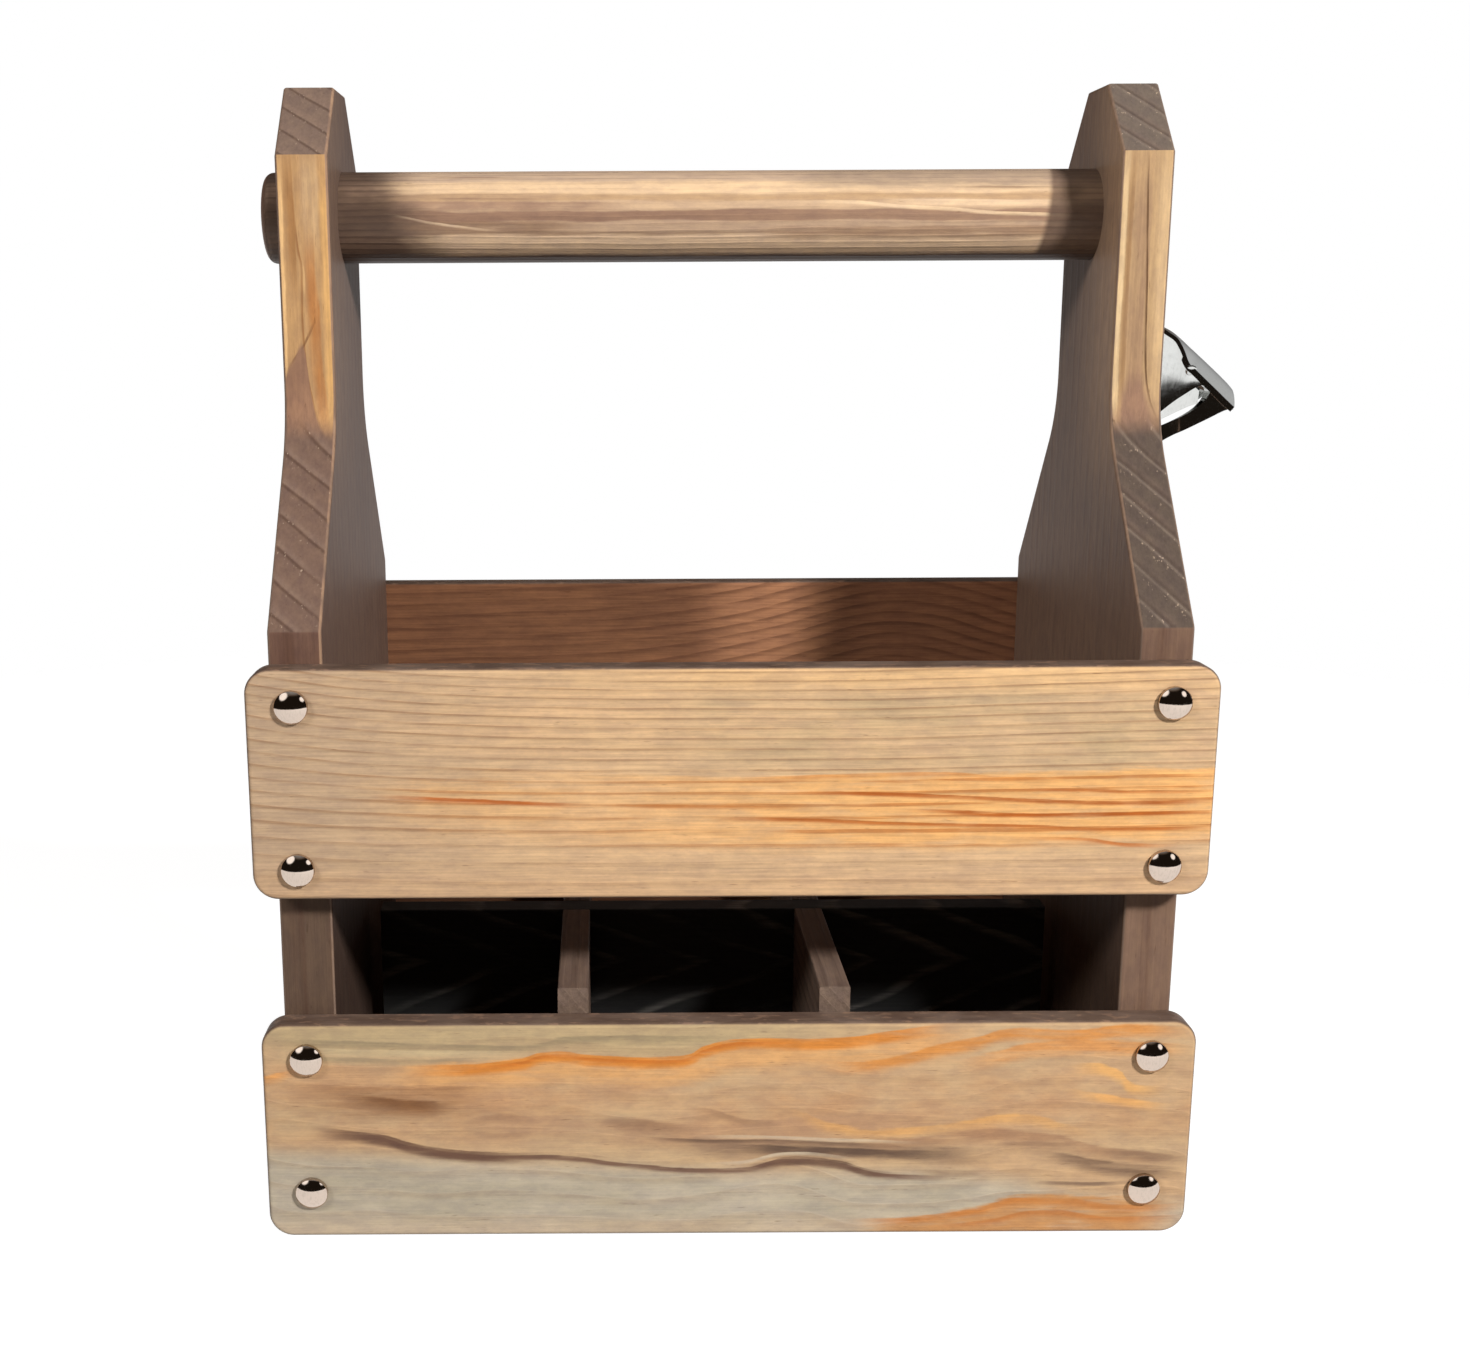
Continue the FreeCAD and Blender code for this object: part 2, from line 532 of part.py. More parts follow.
def opener_body():
    """The cast opener: a screwed plate, a crowned shield, and cheeks with a leaf-shaped window."""
    body = new_body("opener_body")
    tip_forward = "hood_reach + shield_length * cos(shield_slope)"
    tip_up = "hood_front_rise - shield_length * sin(shield_slope)"
    edge_forward = "shield_sag * sin(shield_slope)"
    edge_up = "shield_sag * cos(shield_slope)"
    arm_slope = f"({tip_up} - {edge_up} + arm_drop) / ({tip_forward} - {edge_forward})"
    far = "4 * opener_width"

    hood = (
        ("0", "hood_rise"),
        ("brow_reach", "brow_rise"),
        (f"hood_reach - {edge_forward}", f"hood_front_rise - {edge_up}"),
        (f"{tip_forward} - {edge_forward}", f"{tip_up} - {edge_up}"),
        ("0", "-arm_drop"),
    )
    sketch = draw_outline(new_sketch(body, "XZ_Plane", "opener_hood"), hood)
    pad(body, sketch, "opener_width", both_ways=True)
    shield = draw_crown(lean(new_sketch(body, "YZ_Plane", "opener_shield")))
    pad(body, shield, "shield_tail + shield_length")

    lip_forward = "mouth_wall * sin(shield_slope)"
    lip_up = "mouth_wall * cos(shield_slope)"
    roof_run = f"(hood_front_rise - {lip_up} - mouth_rise) / tan(shield_slope)"
    mouth = (
        (f"-{far}", "mouth_rise"),
        (f"hood_reach + {roof_run} - {lip_forward}", "mouth_rise"),
        (f"{tip_forward} - {lip_forward}", f"{tip_up} - {lip_up}"),
        (f"{tip_forward} - {lip_forward}", f"-{far}"),
        (f"-{far}", f"-{far}"),
    )
    sketch = draw_outline(new_sketch(body, "XZ_Plane", "opener_mouth"), mouth)
    pocket(body, sketch, "opener_width - 2 * hood_wall", both_ways=True)

    window_root = f"arm_height - arm_drop + opener_plate_thickness * {arm_slope}"
    window_foot = f"arm_height - arm_drop + ({tip_forward} - window_gap) * {arm_slope}"
    window = {
        "root_foot": ("opener_plate_thickness", window_root),
        "front_foot": (f"{tip_forward} - window_gap", window_foot),
        "front_top": (f"{tip_forward} - window_gap - window_height / 2", f"{window_foot} + window_height"),
        "root_top": ("opener_plate_thickness", f"{window_root} + 0.75 * window_height"),
    }
    sketch = draw_outline(new_sketch(body, "XZ_Plane", "opener_window"), [*window.values()])
    pocket(body, sketch)
    front_corners = [number for number, name in enumerate(window) if name.startswith("front")]
    round_off(body, "window_radius", "Edge", edges_from(sketch, 1, front_corners))

    plate_bottom = "-(arm_drop + opener_screw_margin)"
    plate = upright("opener_width / 2", plate_bottom, "hood_rise + opener_screw_margin")
    sketch = draw_outline(new_sketch(body, "YZ_Plane", "opener_plate"), plate)
    pad(body, sketch, "opener_plate_thickness")
    round_off(body, "opener_plate_radius", "Edge", edges_from(sketch, 0, range(sketch.GeometryCount)))

    cone = "(screw_head_diameter - screw_diameter) / 2"
    bore = "screw_diameter / 2 + pilot_gap"
    sink = "screw_head_diameter / 2 + pilot_gap"
    for label, height in (("upper", UPPER_SCREW), ("lower", LOWER_SCREW)):
        hole = (
            ("-opener_plate_thickness", "0"),
            ("-opener_plate_thickness", bore),
            (f"opener_plate_thickness - {cone}", bore),
            ("opener_plate_thickness", sink),
            ("2 * opener_plate_thickness", sink),
            ("2 * opener_plate_thickness", "0"),
        )
        sketch = draw_outline(new_sketch(body, "XZ_Plane", f"opener_hole_{label}", up=height), hole)
        revolve(body, sketch, "H_Axis", "Groove")
    return place(body, OUTER_FACE, "0", OPENER_HEIGHT)


def build():
    """Make every piece."""
    pieces = [end_board(label, side) for label, side in SIDES]
    pieces.append(handle_dowel())
    for face, toward in FACES:
        pieces.append(slat(face, toward, "upper", UPPER_SLAT_MIDDLE))
        pieces.append(slat(face, toward, "lower", LOWER_SLAT_MIDDLE))
    pieces.append(bottom_panel())
    pieces += [cross_divider(label, side) for label, side in SIDES]
    pieces.append(long_divider())
    for face, toward in FACES:
        for label, side in SIDES:
            for level, height in nail_levels().items():
                pieces.append(dome_nail(label, side, face, toward, level, height))
    for label, side in SIDES:
        for name, step in (("front", -1), ("middle", 0), ("back", 1)):
            pieces.append(base_brad(label, side, name, step))
    pieces.append(opener_body())
    pieces.append(opener_screw("upper", UPPER_SCREW))
    pieces.append(opener_screw("lower", LOWER_SCREW))
    return pieces


def write(pieces):
    """Check every object and piece, then write each piece to its own file."""
    doc.recompute()
    failed = [item.Name for item in doc.Objects if {"Invalid", "Error"} & set(item.State)]
    failed += [piece.Label for piece in pieces if piece.Shape.isNull() or not piece.Shape.isValid()]
    failed += [piece.Label for piece in pieces if len(piece.Shape.Solids) != 1]
    if failed:
        raise RuntimeError(f"failed: {failed}")
    os.makedirs("parts", exist_ok=True)
    for piece in pieces:
        piece.Shape.exportStep(f"parts/{piece.Label}.step")
        box = piece.Shape.BoundBox
        print(f"{piece.Label}: {box.XLength:.1f} x {box.YLength:.1f} x {box.ZLength:.1f} mm")


write(build())
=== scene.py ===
"""Bottle caddy in stained and sanded pine: finishes, dome nails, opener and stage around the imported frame."""
import math
from collections import namedtuple

import bmesh
import bpy
from mathutils import Color, Matrix, Vector


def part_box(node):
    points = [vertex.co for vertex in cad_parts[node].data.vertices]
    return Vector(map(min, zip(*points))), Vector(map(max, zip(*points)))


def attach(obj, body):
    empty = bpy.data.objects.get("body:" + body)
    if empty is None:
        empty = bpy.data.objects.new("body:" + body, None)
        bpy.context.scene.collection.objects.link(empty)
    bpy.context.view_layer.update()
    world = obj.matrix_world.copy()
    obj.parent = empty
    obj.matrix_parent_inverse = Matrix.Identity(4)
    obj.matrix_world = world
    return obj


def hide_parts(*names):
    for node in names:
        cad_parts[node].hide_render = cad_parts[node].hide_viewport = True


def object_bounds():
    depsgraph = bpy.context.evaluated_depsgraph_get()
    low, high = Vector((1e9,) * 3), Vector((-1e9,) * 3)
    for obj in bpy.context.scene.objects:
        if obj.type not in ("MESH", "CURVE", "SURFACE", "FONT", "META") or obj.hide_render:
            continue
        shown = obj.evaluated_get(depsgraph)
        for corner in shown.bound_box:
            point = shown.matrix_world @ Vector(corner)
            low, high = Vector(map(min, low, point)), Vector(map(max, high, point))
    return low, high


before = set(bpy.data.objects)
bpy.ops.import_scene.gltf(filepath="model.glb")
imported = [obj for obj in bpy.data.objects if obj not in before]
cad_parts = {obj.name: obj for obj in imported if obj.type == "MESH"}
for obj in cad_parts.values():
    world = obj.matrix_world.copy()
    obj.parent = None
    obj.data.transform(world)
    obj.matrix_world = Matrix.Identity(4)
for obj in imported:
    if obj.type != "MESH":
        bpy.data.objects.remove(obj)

bl_info = {
    "name": "Bottle Caddy",
    "version": (1, 0, 0),
    "blender": (4, 5, 0),
    "location": "View3D > Sidebar > Caddy",
    "description": "Finishes the pine bottle caddy, its dome nails and its opener, and sets the studio",
    "category": "Object",
}

CAD_BOX = [list(corner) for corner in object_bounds()]
# Millimetres in a metre
MM = 1000.0
SIDES = ("left", "right")
FACES = ("front", "back")
LEVELS = ("lower_bottom", "lower_top", "upper_bottom", "upper_top")
NAILS = [f"nail_{face}_{side}_{level}" for face in FACES for side in SIDES for level in LEVELS]
BRADS = [f"base_brad_{side}_{place}" for side in SIDES for place in ("front", "middle", "back")]
SCREWS = ("opener_screw_upper", "opener_screw_lower")

# The image that the camera was fitted to, in its own pixels
IMAGE_WIDTH = 1470
IMAGE_HEIGHT = 1347
FOCAL_PIXELS = 1726.0
CENTRE_PIXELS = (604.8, 681.9)
# The camera's place in metres and its turns in radians
CAMERA_PLACE = (-0.0392, -0.6073, 0.2959)
CAMERA_PITCH = 0.2103
CAMERA_ROLL = -0.005


def shade(red, green, blue):
    """A colour as it looks on a screen, from parts of 255."""
    return (red / 255, green / 255, blue / 255)


def linear(colour):
    """A screen colour as the shader's own four numbers."""
    return (*Color(colour).from_srgb_to_scene_linear(), 1.0)


def tint_property(name, description, colour):
    """A colour that a user would change."""
    return bpy.props.FloatVectorProperty(
        name=name, description=description, subtype="COLOR_GAMMA", size=3, min=0.0, max=1.0, default=colour)


def share_property(name, description, value, most=1.0):
    """A share or level that a user would change."""
    return bpy.props.FloatProperty(
        name=name, description=description, subtype="FACTOR", min=0.0, max=most, default=value)


def length_property(name, description, value):
    """A length that a user would change, in metres."""
    return bpy.props.FloatProperty(
        name=name, description=description, unit="LENGTH", subtype="DISTANCE", min=0.0, default=value)


def nail_head_sizes():
    """Diameter and height of a dome nail's head, from the frame."""
    low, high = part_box(NAILS[0])
    slat_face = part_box("front_lower_slat")[0].y
    return high.x - low.x, slat_face - low.y


NAIL_DIAMETER, NAIL_HEIGHT = nail_head_sizes()


class CaddyWood(bpy.types.PropertyGroup):
    """Colours of the pine and its stain."""
    honey: tint_property("Honey pine", "Sanded face of a slat", shade(216, 180, 140))
    beige: tint_property("Beige pine", "Sanded face of the lower slat", shade(202, 166, 128))
    resin: tint_property("Resin pine", "Resin-rich bands of a slat", shade(236, 178, 110))
    stain: tint_property("Grey-brown stain", "Stained wood that was not sanded", shade(120, 101, 89))
    red_stain: tint_property("Red-brown stain", "Stained inner faces of the back slats", shade(140, 97, 70))
    # The long divider's near-black colour
    black_stain: tint_property("Black tone", "Finish of the long divider", shade(50, 50, 50))
    sanding: share_property("Sanding", "How far the stain is sanded off the faces", 1.0)


class CaddyMetal(bpy.types.PropertyGroup):
    """Sizes and colours of the nails and the opener."""
    chrome: tint_property("Chrome", "Plating of the nails and screws", shade(198, 182, 169))
    casting: tint_property("Cast chrome", "Plating of the opener", shade(196, 197, 195))
    steel: tint_property("Steel", "Bright steel of the brads", shade(176, 174, 170))
    head_diameter: length_property("Nail head diameter", "Diameter of a dome nail's head", NAIL_DIAMETER)
    head_height: length_property("Nail head height", "Height of a dome nail's head", NAIL_HEIGHT)
    head_tilt: bpy.props.FloatProperty(
        name="Nail tilt", description="How far a nail may lean", subtype="ANGLE", default=math.radians(2.0))


class CaddyStage(bpy.types.PropertyGroup):
    """Levels of the studio light."""
    key_level: share_property("Right lamp", "Level of the right lamp on white that faces it", 1.08, 4.0)
    fill_level: share_property("Left lamp", "Level of the left lamp on white that faces it", 0.36, 4.0)
    ambient: share_property("Ambient", "Level of the light from all round", 0.06, 2.0)
    lamp_distance: length_property("Lamp distance", "Distance of the lamps from the caddy", 1.6)
    floor_radius: length_property("Floor radius", "Reach of the pale floor", 1.0)


class Wiring:
    """Short words for wiring a node tree, where a value is a constant or another node's output."""

    # Sockets of the mix node when it mixes colours
    MIX_INPUTS = (0, 6, 7)
    MIX_OUTPUT = 2

    def __init__(self, tree):
        self.tree = tree

    def feed(self, socket, value):
        """Link an output to a socket, or set the constant on it."""
        if isinstance(value, bpy.types.NodeSocket):
            self.tree.links.new(value, socket)
        else:
            socket.default_value = value

    def node(self, kind, inputs=None, **settings):
        """A new node with its settings and inputs."""
        made = self.tree.nodes.new(kind)
        for name, value in settings.items():
            setattr(made, name, value)
        for key, value in (inputs or {}).items():
            self.feed(made.inputs[key], value)
        return made

    def maths(self, operation, *values):
        """One operation on one, two or three values."""
        return self.node("ShaderNodeMath", dict(enumerate(values)), operation=operation).outputs[0]

    def times(self, *values):
        """The product of all the values."""
        product = values[0]
        for value in values[1:]:
            product = self.maths("MULTIPLY", product, value)
        return product

    def larger(self, *values):
        """The largest of the values."""
        most = values[0]
        for value in values[1:]:
            most = self.maths("MAXIMUM", most, value)
        return most

    def span(self, value, low, high, start=0.0, end=1.0):
        """A smooth step from start to end while the value goes from low to high."""
        inputs = {"Value": value, "From Min": low, "From Max": high, "To Min": start, "To Max": end}
        return self.node("ShaderNodeMapRange", inputs, interpolation_type="SMOOTHSTEP").outputs[0]

    def window(self, value, low, high, blur):
        """One between low and high, and nothing outside, with blurred ends."""
        rise = self.span(value, low - blur, low + blur)
        fall = self.span(value, high - blur, high + blur, 1.0, 0.0)
        return self.times(rise, fall)

    def mix(self, factor, first, second, blend="MIX"):
        """One colour over another."""
        made = self.node("ShaderNodeMix", data_type="RGBA", blend_type=blend)
        for socket, value in zip(self.MIX_INPUTS, (factor, first, second)):
            self.feed(made.inputs[socket], value)
        return made.outputs[self.MIX_OUTPUT]

    def paint(self, colour, mask, tint, strength=1.0):
        """Lay a screen colour over a colour where the mask is."""
        return self.mix(self.times(mask, strength), colour, linear(tint))

    def noise(self, place, scale, seed, detail=2.0, roughness=0.5):
        """Noise from 0 to 1, with a scale of its own along each axis of the place."""
        vector = self.node("ShaderNodeVectorMath", {0: place, 1: scale}, operation="MULTIPLY").outputs[0]
        inputs = {"Vector": vector, "W": seed, "Scale": 1.0, "Detail": detail, "Roughness": roughness}
        return self.node("ShaderNodeTexNoise", inputs, noise_dimensions="4D").outputs[0]

    def drawn(self, value, points):
        """A smooth line through given points, read at the value."""
        starts = [point[0] for point in points]
        rises = [point[1] for point in points]
        low, high = min(rises) - 1.0, max(rises) + 1.0
        length = starts[-1] - starts[0]
        inputs = {"Value": value, "From Min": starts[0], "From Max": starts[-1]}
        share = self.node("ShaderNodeMapRange", inputs).outputs[0]
        curve = self.node("ShaderNodeFloatCurve", {"Value": share})
        dots = curve.mapping.curves[0].points
        for start, rise in points[1:-1]:
            dots.new((start - starts[0]) / length, (rise - low) / (high - low))
        dots[0].location = (0.0, (rises[0] - low) / (high - low))
        dots[len(dots) - 1].location = (1.0, (rises[-1] - low) / (high - low))
        curve.mapping.update()
        return self.maths("MULTIPLY_ADD", curve.outputs[0], high - low, low)

    def group(self, title, **inputs):
        """A shared effect placed with its own values."""
        made = self.node("ShaderNodeGroup", node_tree=bpy.data.node_groups[title])
        for name, value in inputs.items():
            self.feed(made.inputs[name], value)
        return made.outputs


def bare_tree(holder):
    """The node tree of a material or a world, emptied."""
    holder.use_nodes = True
    holder.node_tree.nodes.clear()
    return holder.node_tree


def new_group(name, inputs, outputs):
    """An empty shader group with its wiring, its inputs by name and its output node."""
    tree = bpy.data.node_groups.new(name, "ShaderNodeTree")
    for title, kind in inputs:
        tree.interface.new_socket(title, in_out="INPUT", socket_type=f"NodeSocket{kind}")
    for title in outputs:
        tree.interface.new_socket(title, in_out="OUTPUT", socket_type="NodeSocketFloat")
    w = Wiring(tree)
    entry = w.node("NodeGroupInput").outputs
    leave = w.node("NodeGroupOutput").inputs
    return w, entry, leave


def facing_group():
    """Masks of the faces that look forwards and backwards, and how far a face looks sideways, up or down."""
    w, entry, leave = new_group(
        "Facing", (("Low", "Float"), ("High", "Float")), ("Front", "Back", "Side", "Slope"))
    normal = w.node("ShaderNodeTexCoord").outputs["Normal"]
    x, y, z = w.node("ShaderNodeSeparateXYZ", {0: normal}).outputs
    low, high = entry["Low"], entry["High"]
    w.feed(leave["Front"], w.span(w.maths("MULTIPLY", y, -1.0), low, high))
    w.feed(leave["Back"], w.span(y, low, high))
    w.feed(leave["Side"], w.maths("ABSOLUTE", x))
    w.feed(leave["Slope"], w.maths("ABSOLUTE", z))


def rings_group():
    """Growth rings by ring number: the dark late wood, a tone of each ring and the way across it."""
    w, entry, leave = new_group(
        "Growth Rings",
        (("Place", "Vector"), ("Ring", "Float"), ("Wander", "Float"), ("Seed", "Float")),
        ("Late", "Tone", "Share"))
    sway = w.noise(entry["Place"], (0.016, 0.05, 0.05), entry["Seed"], detail=1.0)
    sway = w.maths("MULTIPLY_ADD", sway, 2.0, -1.0)
    ring = w.maths("MULTIPLY_ADD", sway, entry["Wander"], entry["Ring"])
    share = w.maths("FRACT", ring)
    rise = w.span(share, 0.42, 0.86)
    fall = w.span(share, 0.9, 1.0, 1.0, 0.0)
    strength = w.noise(entry["Place"], (0.022, 0.5, 0.5), entry["Seed"], detail=2.0)
    strength = w.span(strength, 0.3, 0.62, 0.25, 1.0)
    w.feed(leave["Late"], w.times(rise, fall, strength))
    w.feed(leave["Share"], share)
    number = w.maths("ADD", w.maths("FLOOR", ring), entry["Seed"])
    w.feed(leave["Tone"], w.node("ShaderNodeTexWhiteNoise", {"W": number}, noise_dimensions="1D").outputs[0])


def fibre_group():
    """Fine fibres along the grain, short dark pores and a cloudy mottle."""
    w, entry, leave = new_group(
        "Wood Fibre", (("Place", "Vector"), ("Seed", "Float")), ("Fibre", "Pores", "Mottle"))
    place, seed = entry["Place"], entry["Seed"]
    pore_seed = w.maths("ADD", seed, 7.0)
    mottle_seed = w.maths("ADD", seed, 13.0)
    w.feed(leave["Fibre"], w.noise(place, (0.03, 1.1, 1.1), seed, detail=4.0, roughness=0.65))
    pores = w.noise(place, (0.16, 1.5, 1.5), pore_seed, detail=2.0)
    w.feed(leave["Pores"], w.span(pores, 0.66, 0.78))
    w.feed(leave["Mottle"], w.noise(place, (0.12, 0.3, 0.3), mottle_seed, detail=5.0, roughness=0.7))


def clouds_group():
    """Soft patches of stain, longer along the grain than across it."""
    w, entry, leave = new_group(
        "Stain Clouds", (("Place", "Vector"), ("Size", "Float"), ("Seed", "Float")), ("Cloud",))
    scale = w.maths("DIVIDE", 1.0, entry["Size"])
    vector = w.node("ShaderNodeVectorMath", {0: entry["Place"], "Scale": scale}, operation="SCALE").outputs[0]
    cloud = w.noise(vector, (0.4, 1.0, 1.0), entry["Seed"], detail=3.0, roughness=0.6)
    w.feed(leave["Cloud"], w.span(cloud, 0.32, 0.68))


def streak_group():
    """A streak along a drawn line, with its own reach over and under the line and ragged edges."""
    inputs = [("Place", "Vector")]
    inputs += [(name, "Float") for name in ("Height", "Line", "Above", "Below", "Blur", "Ends", "Seed")]
    w, entry, leave = new_group("Drawn Streak", inputs, ("Mask",))
    ragged = w.noise(entry["Place"], (0.06, 0.5, 0.5), entry["Seed"], detail=5.0, roughness=0.65)
    ragged = w.times(w.maths("SUBTRACT", ragged, 0.5), entry["Blur"], 2.4)
    height = w.maths("ADD", w.maths("SUBTRACT", entry["Height"], entry["Line"]), ragged)
    crisp = w.maths("MULTIPLY", entry["Blur"], 0.4)
    soft = w.maths("MULTIPLY", entry["Blur"], 1.5)
    top = w.span(w.maths("SUBTRACT", entry["Above"], height), w.maths("MULTIPLY", crisp, -1.0), crisp)
    foot = w.span(w.maths("ADD", entry["Below"], height), w.maths("MULTIPLY", soft, -1.0), soft)
    breaks = w.noise(entry["Place"], (0.05, 0.35, 0.35), w.maths("ADD", entry["Seed"], 50.0), detail=4.0)
    w.feed(leave["Mask"], w.times(top, foot, entry["Ends"], w.span(breaks, 0.32, 0.54, 0.6, 1.0)))


class Finish(Wiring):
    """A material's wiring, with its place in millimetres and the shared effects at that place."""

    def __init__(self, name, along):
        self.material = bpy.data.materials.new(name)
        super().__init__(bare_tree(self.material))
        coordinates = self.node("ShaderNodeTexCoord").outputs["Object"]
        scaled = self.node("ShaderNodeVectorMath", {0: coordinates, "Scale": MM}, operation="SCALE")
        self.x, self.y, self.z = axes = self.node("ShaderNodeSeparateXYZ", {0: scaled.outputs[0]}).outputs
        order = [axes["xyz".index(letter)] for letter in along]
        self.place = self.node("ShaderNodeCombineXYZ", dict(enumerate(order))).outputs[0]

    def facing(self, low, high):
        """Masks of the ways that a face may look."""
        return self.group("Facing", Low=low, High=high)

    def rings(self, ring, wander, seed):
        """Growth rings by ring number."""
        return self.group("Growth Rings", Place=self.place, Ring=ring, Wander=wander, Seed=seed)

    def cloud(self, size, seed):
        """Soft patches of stain."""
        return self.group("Stain Clouds", Place=self.place, Size=size, Seed=seed)["Cloud"]

    def streak(self, height, line, above, below, blur, ends, seed):
        """A streak along a line."""
        return self.group(
            "Drawn Streak", Place=self.place, Height=height, Line=line, Above=above, Below=below,
            Blur=blur, Ends=ends, Seed=seed)["Mask"]

    def close(self, colour, roughness, height, depth, **constants):
        """The material, closed with its colour, roughness, bump and the shader's own constants."""
        bump = self.node("ShaderNodeBump", {"Height": height, "Strength": 1.0, "Distance": depth})
        inputs = {"Base Color": colour, "Roughness": roughness, "Normal": bump.outputs[0]}
        inputs.update({name.replace("_", " "): value for name, value in constants.items()})
        shader = self.node("ShaderNodeBsdfPrincipled", inputs)
        self.node("ShaderNodeOutputMaterial", {"Surface": shader.outputs[0]})
        return self.material


# A drawn streak: tint in parts of 255, strength, reach over and under its line in millimetres, blur
# of its edges, and the points of the line
Streak = namedtuple("Streak", "tint strength above below blur points")


def lay_streaks(w, colour, along, height, streaks):
    """Paint drawn streaks over a colour, one after another."""
    longest_fade, fades_in_length = 12.0, 5
    for seed, streak in enumerate(streaks):
        first, last = streak.points[0][0], streak.points[-1][0]
        fade = min(longest_fade, (last - first) / fades_in_length)
        ends = w.window(along, first + fade, last - fade, fade)
        line = w.drawn(along, streak.points)
        mask = w.streak(height, line, streak.above, streak.below, streak.blur, ends, float(seed))
        colour = w.paint(colour, mask, shade(*streak.tint), streak.strength)
    return colour


# How far the mottle takes down and lifts the red, green and blue of wood, and what pores leave of them
MOTTLE = ((0.90, 1.12), (0.88, 1.10), (0.90, 1.04))
PORE_TINT = shade(150, 130, 115)


def wood_surface(w, colour, late, seed, roughness=0.52, fibres=1.0, sheen=0.25):
    """Add fibre and pores to a wood colour and close the material with a fine grain."""
    darker, lighter, pore_strength = 0.16, 0.13, 0.5
    late_relief, gloss_range, grain_depth = 0.8, 0.14, 0.00012
    fibre = w.group("Wood Fibre", Place=w.place, Seed=seed)
    light = w.span(fibre["Fibre"], 0.3, 0.7, 1 - darker * fibres, 1 + lighter * fibres)
    patches = [w.times(light, w.span(fibre["Mottle"], 0.3, 0.7, low, high)) for low, high in MOTTLE]
    patchy = w.node("ShaderNodeCombineColor", dict(enumerate(patches))).outputs[0]
    colour = w.mix(1.0, colour, patchy, "MULTIPLY")
    colour = w.mix(w.times(fibre["Pores"], pore_strength), colour, linear(PORE_TINT), "MULTIPLY")
    height = w.maths("MULTIPLY_ADD", late, late_relief, fibre["Fibre"])
    gloss = w.maths("MULTIPLY_ADD", fibre["Fibre"], gloss_range, roughness - gloss_range / 2)
    return w.close(colour, gloss, height, grain_depth, Specular_IOR_Level=sheen)


def sand(w, bare, late, wood, face):
    """Bare wood on the sanded face, and stain on the other faces and the eased edges."""
    facing = w.facing(0.55, 0.97)
    blotch = w.cloud(9.0, 31.0)
    darkened = w.mix(w.times(blotch, 0.9), linear(wood.stain), linear(shade(90, 71, 60)))
    darkened = w.paint(darkened, late, shade(84, 66, 56), 0.5)
    worn = w.cloud(2.4, 33.0)
    darkened = w.paint(darkened, w.span(worn, 0.72, 0.95), shade(160, 128, 106), 0.4)
    return w.mix(w.times(facing[face], wood.sanding), darkened, bare)


RESIN_LINES = (
    Streak((176, 92, 36), 0.9, 0.7, 0.7, 0.5,
           ((-114, 33.6), (-104, 33.2), (-90, 32.6), (-71, 31.5), (-40, 30.2))),
    Streak((196, 122, 60), 0.7, 0.5, 0.6, 0.4, ((-46, 31), (-20, 30), (8, 29.6), (30, 29))),
    Streak((206, 138, 74), 0.7, 0.6, 0.8, 0.5, ((-2, 38), (32, 39.6), (63, 40), (84, 38.5), (110, 37.9))),
    Streak((172, 90, 34), 0.9, 0.6, 0.7, 0.4,
           ((18, 34.4), (44, 33.7), (69, 32.6), (94, 31.3), (119, 30.5), (136, 30.5), (156, 31.8))),
    Streak((172, 90, 34), 0.9, 0.6, 0.7, 0.4, ((50, 28.8), (73, 27.6), (94, 26.6), (115, 26.8), (156, 27.4))),
    Streak((176, 96, 38), 0.85, 0.5, 0.7, 0.4,
           ((-10, 26), (21, 25.5), (42, 24.6), (73, 23.6), (94, 23), (115, 22), (156, 22.6))),
    Streak((188, 108, 48), 0.8, 0.5, 0.6, 0.4, ((86, 18.9), (107, 18.9), (125, 16.8), (144, 16.4))),
    Streak((180, 100, 42), 0.8, 0.4, 0.5, 0.3, ((84, 34.8), (106, 34.6), (128, 34), (156, 34.6))),
)


